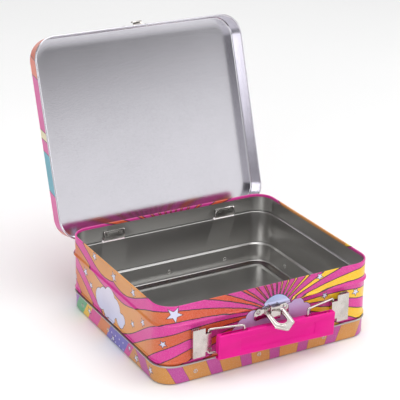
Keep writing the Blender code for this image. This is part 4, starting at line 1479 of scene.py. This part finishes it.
def points_mesh(name: str, points: list[Vector], outward: list[Vector]) -> bpy.types.Mesh:
    """Loose points that each know which way they face.

    Args:
        name: Name of the mesh.
        points: The points.
        outward: Direction of each point.

    Returns:
        The mesh.
    """
    mesh = bpy.data.meshes.new(name)
    mesh.from_pydata([tuple(point) for point in points], [], [])
    facing = mesh.attributes.new("outward", "FLOAT_VECTOR", "POINT")
    facing.data.foreach_set("vector", [value for vector in outward for value in vector])
    return mesh


def path_mesh(name: str, corners: list[Vector]) -> bpy.types.Mesh:
    """Open line through corners.

    Args:
        name: Name of the mesh.
        corners: The corners, in order.

    Returns:
        The mesh.
    """
    mesh = bpy.data.meshes.new(name)
    mesh.from_pydata([tuple(corner) for corner in corners],
                     [(index, index + 1) for index in range(len(corners) - 1)], [])
    return mesh


def rivet_tree(shank_share: float = 0.70, foot_radius: float = 0.85,
               foot_height: float = 0.5) -> bpy.types.NodeTree:
    """Round-head rivets on points: dome outward, shank, flat set head behind.

    Args:
        shank_share: Length of the shank over the rivet's length.
        foot_radius: Radius of the set head over the dome's.
        foot_height: Height of the set head over the dome's.

    Returns:
        The tree.
    """
    weave = Weave("rivets_on_points", "Head radius", "Dome height", "Shank radius", "Length")
    head, dome, shank, length = weave.sizes
    half = weave.part_of(length, 0.5)
    ball = weave.add("GeometryNodeMeshUVSphere", {"Segments": 24, "Rings": 14, "Radius": head})
    top = weave.moved(ball, weave.calc("SUBTRACT", half, dome),
                      weave.squeezed(weave.calc("DIVIDE", dome, head)))
    rod = weave.add("GeometryNodeMeshCylinder", {"Vertices": 20, "Radius": shank, "Depth": length})
    stem = weave.moved(rod, weave.part_of(dome, -0.5), (1.0, 1.0, shank_share))
    disc = weave.add("GeometryNodeMeshCylinder", {
        "Vertices": 24, "Radius": weave.part_of(head, foot_radius),
        "Depth": weave.part_of(dome, foot_height)})
    foot = weave.moved(disc, weave.calc("SUBTRACT", weave.part_of(dome, foot_height / 2), half))
    return weave.spread(weave.joined(top, stem, foot))


def clinch_tree(lip_radius: float = 0.24, dimple_radius: float = 0.62,
                dimple_swell: float = 1.02) -> bpy.types.NodeTree:
    """Round clinch marks on points: a dimple with a raised ring on both faces of the wall.

    Args:
        lip_radius: Radius of the ring's section over the mark's radius.
        dimple_radius: Radius of the dimple over the mark's radius.
        dimple_swell: How far the dimple swells out of the wall.

    Returns:
        The tree.
    """
    weave = Weave("clinch_marks", "Radius", "Thickness")
    radius, thickness = weave.sizes
    ring = weave.add("GeometryNodeCurvePrimitiveCircle", {"Resolution": 24, "Radius": radius})
    bead = weave.add("GeometryNodeCurvePrimitiveCircle", {
        "Resolution": 8, "Radius": weave.part_of(radius, lip_radius)})
    lip = weave.add("GeometryNodeCurveToMesh", {"Curve": ring, "Profile Curve": bead})
    lips = [weave.moved(lip, weave.part_of(thickness, side)) for side in (-0.5, 0.5)]
    ball = weave.add("GeometryNodeMeshUVSphere", {
        "Segments": 20, "Rings": 12, "Radius": weave.part_of(radius, dimple_radius)})
    swell = weave.calc("DIVIDE", weave.part_of(thickness, dimple_swell), radius)
    return weave.spread(weave.joined(*lips, weave.moved(ball, 0.0, weave.squeezed(swell))))


def wire_tree() -> bpy.types.NodeTree:
    """Round wire along a line, with bends of one radius.

    Returns:
        The tree.
    """
    weave = Weave("bent_wire", "Wire radius", "Bend radius")
    wire, bend = weave.sizes
    line = weave.add("GeometryNodeMeshToCurve", {"Mesh": weave.inputs["Geometry"]})
    bent = weave.add("GeometryNodeFilletCurve", {"Curve": line, "Count": 8, "Radius": bend}, mode="POLY")
    section = weave.add("GeometryNodeCurvePrimitiveCircle", {"Resolution": 20, "Radius": wire})
    return weave.finish(weave.add("GeometryNodeCurveToMesh", {
        "Curve": bent, "Profile Curve": section, "Fill Caps": True}))


# ---- sub-assemblies ------------------------------------------------------------------------
def lid_joint(frame: dict) -> tuple[Vector, float]:
    """Hinge of the lid, from the frame's joint.

    Args:
        frame: The loaded frame.

    Returns:
        Its pivot, and how far the lid stands open in radians.
    """
    joint = next(entry for entry in frame["joints"] if entry["child"] == Body.LID.value)
    return Vector(joint["pos_m"]), math.radians(joint["range_deg"][1])


@dataclass
class BoxShells:
    """Printed band and bottom tray with their clinch marks.

    Attributes:
        frame: The loaded frame.
        finishes: The finishes.
        sheet: Thickness of the tin.
        gap: Space between the band and the tray round it.
        curl: Radius of the tray's rolled rim.
        foot: Radius between the tray's wall and floor.
        ring_inset: How far the ring in the floor lies inside the wall.
        ring_width: Width of that ring.
        ring_height: Height of that ring.
        ring_slope: Share of its width that each slope takes.
        lower_bead: Height, reach and half width of the band's lower bead.
        upper_bead: The same of its upper bead.
        hem: Radius of the band's top hem.
        hem_drop: How far the hem reaches down inside.
        foot_clear: Plain stretch of the band under the lower bead.
        window_rise: How far a hinge window reaches over the hinge line.
        window_reach: How far the cut reaches inside and outside the rear wall.
        clinch_radius: Radius of a clinch mark.
        clinch_height: Height of the clinch marks.
        clinch_shares: Places of the marks along a wall, in half lengths from its middle.
        rear_shift: How far the rear wall's marks are shifted sideways.
        crease: Least angle of a crease in the tray's shading, in degrees.
    """

    frame: dict
    finishes: Finishes
    sheet: float = SHEET
    gap: float = 0.3 * MM
    curl: float = 0.6 * MM
    foot: float = 1.8 * MM
    ring_inset: float = 8.0 * MM
    ring_width: float = 3.6 * MM
    ring_height: float = 0.8 * MM
    ring_slope: float = 0.3
    lower_bead: Point3 = (19.2 * MM, 0.9 * MM, 1.2 * MM)
    upper_bead: Point3 = (51.0 * MM, 1.5 * MM, 1.4 * MM)
    hem: float = 0.55 * MM
    hem_drop: float = 1.6 * MM
    foot_clear: float = 0.5 * MM
    window_rise: float = 1.4 * MM
    window_reach: Point2 = (2 * MM, 3 * MM)
    clinch_radius: float = 1.5 * MM
    clinch_height: float = 8.2 * MM
    clinch_shares: Point3 = (-0.69, -0.10, 0.53)
    rear_shift: float = -11.0 * MM
    crease: float = 60.0

    def __post_init__(self) -> None:
        """Read the plan and heights from the frame."""
        low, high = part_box("body_band")
        bead_out = self.upper_bead[1]
        self.plan = Plan(high.x - low.x - 2 * bead_out, high.y - low.y - 2 * bead_out)
        self.rim = high.z
        self.tray_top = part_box("bottom_tray")[1].z
        self.bare = [self.finishes.bare_edge, self.finishes.inside, self.finishes.bare_edge]

    def bead(self, size: Point3, steps: int = 14) -> list[Point2]:
        """Outward bead.

        Args:
            size: Its height, reach and half width.
            steps: Stretches across it.

        Returns:
            Its (offset, height) points, bottom to top.
        """
        height, out, half = size
        shares = [step / steps for step in range(steps + 1)]
        return [(-self.sheet / 2 + out * (0.5 - 0.5 * math.cos(math.tau * share)),
                 height - half + 2 * half * share) for share in shares]

    def band(self) -> Item:
        """Wall with two beads and a hem turned inwards, with a window for each hinge.

        Returns:
            The piece.
        """
        inner = -self.sheet - self.gap - self.sheet / 2
        hem_z = self.rim - self.sheet / 2 - self.hem
        bead_z, _, bead_half = self.lower_bead
        line = [(inner, self.sheet / 2 + self.foot), (inner, bead_z - bead_half - self.foot_clear)]
        line += self.bead(self.lower_bead)[1:] + self.bead(self.upper_bead)
        line += arc((-self.sheet / 2 - self.hem, hem_z), self.hem, 0, 180, steps=10)
        line += [(-self.sheet / 2 - 2 * self.hem, hem_z - self.hem_drop)]
        shell = Shell("band_shell", self.plan, line, raw=0, printed=len(line) - 1, flip=True)
        rear = self.plan.depth / 2
        inside, outside = self.window_reach
        windows = hinge_gaps((rear - inside, self.upper_bead[0] - self.upper_bead[2]),
                             (rear + outside, lid_joint(self.frame)[0].z + self.window_rise))
        item = cut_boxes(shell.build([self.finishes.band, *self.bare]), windows)
        return show(soften(item), Body.BOX, Slot.BAND, "body_band")

    def tray(self) -> Item:
        """Drawn tray with a rolled rim and a ring pressed into its floor.

        Returns:
            The piece.
        """
        floor, skirt = self.sheet / 2, -self.sheet / 2
        inner = -self.ring_inset - self.ring_width
        slope = self.ring_width * self.ring_slope
        curl_z = self.tray_top - self.sheet / 2 - self.curl
        line = arc((skirt + self.curl, curl_z), self.curl, -60, 180, steps=12)
        line += arc((skirt - self.foot, floor + self.foot), self.foot, 0, -90, steps=8)
        line += [(-self.ring_inset, floor), (-self.ring_inset - slope, floor + self.ring_height),
                 (inner + slope, floor + self.ring_height), (inner, floor), (inner - self.foot, floor)]
        shell = Shell("tray_shell", self.plan, line, raw=11, printed=7, panel=True)
        item = shell.build([self.finishes.tray, *self.bare])
        return show(soften(item, self.crease), Body.BOX, Slot.TRAY, "bottom_tray")

    def clinch_marks(self) -> Item:
        """Round marks that lock the tray to the band, three to a wall.

        Returns:
            The piece.
        """
        half_x, half_y = self.plan.width / 2, self.plan.depth / 2
        middle = -self.sheet - self.gap / 2
        points, outward = [], []
        for share in self.clinch_shares:
            for side in (-1, 1):
                across = (self.rear_shift if side > 0 else 0.0) - side * share * half_x
                points.append(Vector((across, side * (half_y + middle), self.clinch_height)))
                points.append(Vector((side * (half_x + middle), side * share * half_y,
                                      self.clinch_height)))
                outward += [Vector((0, side, 0)), Vector((side, 0, 0))]
        base = points_mesh("clinch_points", points, outward)
        return show(run_tree(clinch_tree(), "clinch_marks", base, {
            "Radius": self.clinch_radius, "Thickness": 2 * self.sheet + self.gap,
            "Material": self.finishes.dull}), Body.BOX, Slot.TRAY)

    def build(self) -> None:
        """Build the shells."""
        self.band()
        self.tray()
        self.clinch_marks()


@dataclass
class LidShell:
    """Printed lid, modelled closed and turned open about its hinges.

    Attributes:
        frame: The loaded frame.
        finishes: The finishes.
        plan: Plan of the box.
        rim_of_box: Height of the box's rim.
        sheet: Thickness of the tin.
        clearance: Space between the box's wall and the lid's skirt.
        headroom: Height of the closed lid's top over the rim.
        curl: Radius of the lid's curled rim.
        edge: Radius between skirt and panel.
        notch_low: How far a notch reaches under the hinge line.
        notch_high: How far it reaches over the hinge line.
        notch_out: How far the cut reaches outside the rear wall.
        crease: Least angle of a crease in the shading, in degrees.
    """

    frame: dict
    finishes: Finishes
    plan: Plan
    rim_of_box: float
    sheet: float = SHEET
    clearance: float = 1.8 * MM
    headroom: float = 2.5 * MM
    curl: float = 0.65 * MM
    edge: float = 1.6 * MM
    notch_low: float = 1.0 * MM
    notch_high: float = 2.6 * MM
    notch_out: float = 6.0 * MM
    crease: float = 60.0

    def build(self) -> Item:
        """Make the lid with its notches for the hinge leaves.

        Returns:
            The piece.
        """
        pivot, opening = lid_joint(self.frame)
        skirt = self.clearance + self.sheet / 2
        panel = self.rim_of_box + self.headroom - self.sheet / 2
        curl_z = pivot.z + self.sheet / 2 + self.curl
        line = arc((skirt + self.curl, curl_z), self.curl, 60, -180, steps=12)
        line += arc((skirt - self.edge, panel - self.edge), self.edge, 0, 90, steps=8)
        line += [(-self.plan.corner / 2, panel)]
        shell = Shell("lid_shell_finished", self.plan, line, raw=9, printed=8, flip=True, panel=True)
        item = shell.build([self.finishes.skirt, self.finishes.panel, self.finishes.lid_inside,
                            self.finishes.bare_edge])
        rear = self.plan.depth / 2
        cut_boxes(item, hinge_gaps((rear + self.clearance + self.sheet, pivot.z - self.notch_low),
                                   (rear + self.notch_out, pivot.z + self.notch_high)))
        item.data.transform(Matrix.Translation(pivot) @ Matrix.Rotation(-opening, 4, "X")
                            @ Matrix.Translation(-pivot))
        return show(soften(item, self.crease), Body.LID, Slot.LID, "lid_shell")


@dataclass
class Fastenings:
    """Every rivet of the box and of the lid."""

    frame: dict
    finishes: Finishes
    head: float = 1.7 * MM
    dome: float = 0.8 * MM
    shank: float = 0.9 * MM

    def row(self, tree: bpy.types.NodeTree, name: str, body: Body, groups: dict[str, Vector]) -> Item:
        """One mesh of rivets for a body.

        Args:
            tree: Rivet tree.
            name: Piece name.
            body: Body that the rivets ride on.
            groups: Outward direction of the rivets whose node names start with each key.

        Returns:
            The piece.
        """
        nodes, points, outward = [], [], []
        for start, direction in groups.items():
            for node in sorted(self.frame["nodes"]):
                if node.startswith(start):
                    low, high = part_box(node)
                    nodes.append(node)
                    points.append((low + high) / 2)
                    outward.append(direction)
        low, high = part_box("latch_rivet_left")
        piece = run_tree(tree, name, points_mesh(name + "_points", points, outward), {
            "Head radius": self.head, "Dome height": self.dome, "Shank radius": self.shank,
            "Length": high.y - low.y, "Material": self.finishes.rivet})
        return show(soften(piece), body, Slot.RIVETS, *nodes)

    def build(self) -> None:
        """Build both rows."""
        tree = rivet_tree()
        turn = Matrix.Rotation(-lid_joint(self.frame)[1], 3, "X")
        front, rear = Vector((0, -1, 0)), Vector((0, 1, 0))
        self.row(tree, "box_rivets", Body.BOX, {
            "hinge_body_rivet": rear, "latch_rivet": front, "bracket_rivet": front})
        self.row(tree, "lid_rivets", Body.LID, {"hinge_lid_rivet": turn @ rear,
                                                "catch_rivet": turn @ front})


@dataclass
class Hardware:
    """Hinges, latch, catch, brackets: pressed pieces with rolled edges."""

    frame: dict
    finishes: Finishes

    def pieces(self) -> list[tuple[Refined, Material]]:
        """What is refined.

        Returns:
            Each piece and its finish.
        """
        bright, dull, satin = self.finishes.bright, self.finishes.dull, self.finishes.satin
        pieces = [(Refined("latch_base", Body.BOX, Slot.BRIGHT, 0.18 * MM), bright),
                  (Refined("latch_bail", Body.BAIL, Slot.BRIGHT, 0.16 * MM), bright),
                  (Refined("lid_catch", Body.LID, Slot.BRIGHT, 0.15 * MM), bright)]
        for label in ("left", "right"):
            pieces += [(Refined("handle_bracket_" + label, Body.BOX, Slot.BRIGHT, 0.2 * MM), satin),
                       (Refined("hinge_body_leaf_" + label, Body.BOX, Slot.HINGE, 0.1 * MM), dull),
                       (Refined("hinge_lid_leaf_" + label, Body.LID, Slot.HINGE, 0.1 * MM), dull),
                       (Refined("hinge_pin_" + label, Body.BOX, Slot.WIRE, 0.0), bright)]
        return pieces

    def build(self) -> None:
        """Build the pieces."""
        for piece, material in self.pieces():
            piece.build(self.frame, material)


@dataclass
class Handle:
    """Two bent wires and the moulded grip.

    Attributes:
        frame: The loaded frame.
        finishes: The finishes.
        wire: Radius of the wires.
        bend: Radius of their bends.
        arm_high: Height of the upper arms.
        arm_low: Height of the lower arms.
        hook_high: Height where the upper hooks end.
        hook_low: Height where the lower hooks end.
        grip_edge: Width of the grip's rolled edges.
    """

    frame: dict
    finishes: Finishes
    wire: float = 1.0 * MM
    bend: float = 1.8 * MM
    arm_high: float = 43.2 * MM
    arm_low: float = 22.6 * MM
    hook_high: float = 34.4 * MM
    hook_low: float = 18.9 * MM
    grip_edge: float = 0.25 * MM

    def path(self, side: int) -> list[Vector]:
        """Corners of one wire, from its upper hook to its lower hook.

        Args:
            side: -1 for the left wire, 1 for the right.

        Returns:
            The corners.
        """
        places = {entry["child"]: Vector(entry["pos_m"]) for entry in self.frame["joints"]}
        root, tip = places[Body.WIRE_LEFT.value], places[Body.GRIP.value]
        corners = ((tip, self.hook_high), (tip, self.arm_high), (root, self.arm_high),
                   (root, self.arm_low), (tip, self.arm_low), (tip, self.hook_low))
        return [Vector((-side * place.x, place.y, height)) for place, height in corners]

    def build(self) -> None:
        """Build the wires and the grip."""
        tree = wire_tree()
        for side, label, body in ((-1, "left", Body.WIRE_LEFT), (1, "right", Body.WIRE_RIGHT)):
            name = "wire_" + label
            piece = run_tree(tree, name, path_mesh(name + "_line", self.path(side)), {
                "Wire radius": self.wire, "Bend radius": self.bend, "Material": self.finishes.bright})
            show(soften(piece), body, Slot.WIRE, "handle_wire_" + label)
        grip = Refined("handle_grip", Body.GRIP, Slot.GRIP, self.grip_edge)
        grip.build(self.frame, self.finishes.grip)


# ---- studio --------------------------------------------------------------------------------
@dataclass(frozen=True)
class Lamp:
    """Soft rectangular light that faces the box; power is in watts."""

    name: str
    place: Point3
    size: Point2
    power: float
    target: Point3 = (0.0, 0.0, 0.06)

    def hang(self) -> None:
        """Add the light."""
        data = bpy.data.lights.new(self.name, "AREA")
        data.shape = "RECTANGLE"
        data.size, data.size_y = self.size
        data.energy = self.power
        place = Vector(self.place)
        aim = (Vector(self.target) - place).to_track_quat("-Z", "Y").to_matrix().to_4x4()
        placed(self.name, data).matrix_world = Matrix.Translation(place) @ aim


@dataclass
class Studio:
    """Floor, soft lights and camera.

    Attributes:
        lens: Focal length, in millimetres.
        place: Where the camera stands.
        right: Its direction to the right.
        up: Its direction upwards.
        forward: Its direction of view.
        floor_size: Side of the floor.
        floor_drop: How far the floor lies under the box.
        sky: Brightness of the sky by the height of the direction.
        left_shade: Directions to the side between which the sky's shade ends, and its depth.
        lamps: The lights.
    """

    lens: float = 121.44
    place: Point3 = (-0.52046, -0.89296, 0.53068)
    right: Point3 = (0.87366, -0.48640, 0.01164)
    up: Point3 = (0.17459, 0.33574, 0.92563)
    forward: Point3 = (0.45413, 0.80666, -0.37824)
    floor_size: float = 8.0
    floor_drop: float = 0.2 * MM
    sky: tuple[Point2, ...] = ((0.0, 1.05), (1.0, 1.15), (0.245, 1.05), (0.27, 0.08), (0.5, 0.12),
                               (0.72, 1.15))
    left_shade: Point3 = (-0.55, -0.10, 0.35)
    lamps: tuple[Lamp, ...] = (Lamp("above", (0.1, -0.2, 1.7), (1.6, 1.4), 12.0),
                               Lamp("key", (-1.4, -1.1, 1.0), (0.9, 1.1), 9.0),
                               Lamp("fill", (1.5, -0.9, 0.7), (0.8, 1.0), 4.5))

    def camera(self) -> None:
        """Create the camera and make it the scene's."""
        data = bpy.data.cameras.new("view")
        data.lens = self.lens
        data.sensor_width = 36.0
        data.clip_start = 0.05
        item = placed("view", data)
        axes = Matrix((self.right, self.up, tuple(-value for value in self.forward))).transposed()
        item.matrix_world = Matrix.Translation(self.place) @ axes.to_4x4()
        bpy.context.scene.camera = item

    def floor(self) -> None:
        """Plain pale floor just under the box."""
        bpy.ops.mesh.primitive_plane_add(size=self.floor_size, location=(0, 0, -self.floor_drop))
        item = bpy.context.object
        item.name = "floor"
        item.data.materials.append(Paper().build())

    def world(self) -> None:
        """Pale sky with one dark band round it above eye level, shaded towards the left."""
        world = bpy.data.worlds.new("pale_room")
        world.use_nodes = True
        tree = world.node_tree
        split = tree.nodes.new("ShaderNodeSeparateXYZ")
        feed(tree, split.inputs[0], tree.nodes.new("ShaderNodeTexCoord").outputs["Generated"])
        ramp = tree.nodes.new("ShaderNodeValToRGB")
        bands = ramp.color_ramp.elements
        for index, (height, level) in enumerate(self.sky):
            band = bands[index] if index < 2 else bands.new(height)
            band.position = height
            band.color = (level, level, level, 1.0)
        feed(tree, ramp.inputs[0], split.outputs["Z"])
        shade = tree.nodes.new("ShaderNodeMapRange")
        shade.interpolation_type = "SMOOTHSTEP"
        for label, value in zip(("From Min", "From Max", "To Min"), self.left_shade):
            shade.inputs[label].default_value = value
        feed(tree, shade.inputs["Value"], split.outputs["X"])
        both = tree.nodes.new("ShaderNodeMath")
        both.operation = "MULTIPLY"
        feed(tree, both.inputs[0], ramp.outputs["Color"])
        feed(tree, both.inputs[1], shade.outputs["Result"])
        back = tree.nodes["Background"]
        back.inputs["Color"].default_value = WHITE
        feed(tree, back.inputs["Strength"], both.outputs[0])
        bpy.context.scene.world = world

    def build(self) -> None:
        """Build the studio."""
        bpy.context.scene.view_settings.view_transform = "Standard"
        self.camera()
        self.floor()
        self.world()
        for lamp in self.lamps:
            lamp.hang()


def main() -> None:
    """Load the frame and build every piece."""
    logging.basicConfig(level=logging.INFO)
    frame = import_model()
    Studio().build()
    finishes = Finishes()
    shells = BoxShells(frame, finishes)
    shells.build()
    LidShell(frame, finishes, shells.plan, shells.rim).build()
    Fastenings(frame, finishes).build()
    Hardware(frame, finishes).build()
    Handle(frame, finishes).build()


if __name__ == "__main__":
    main()
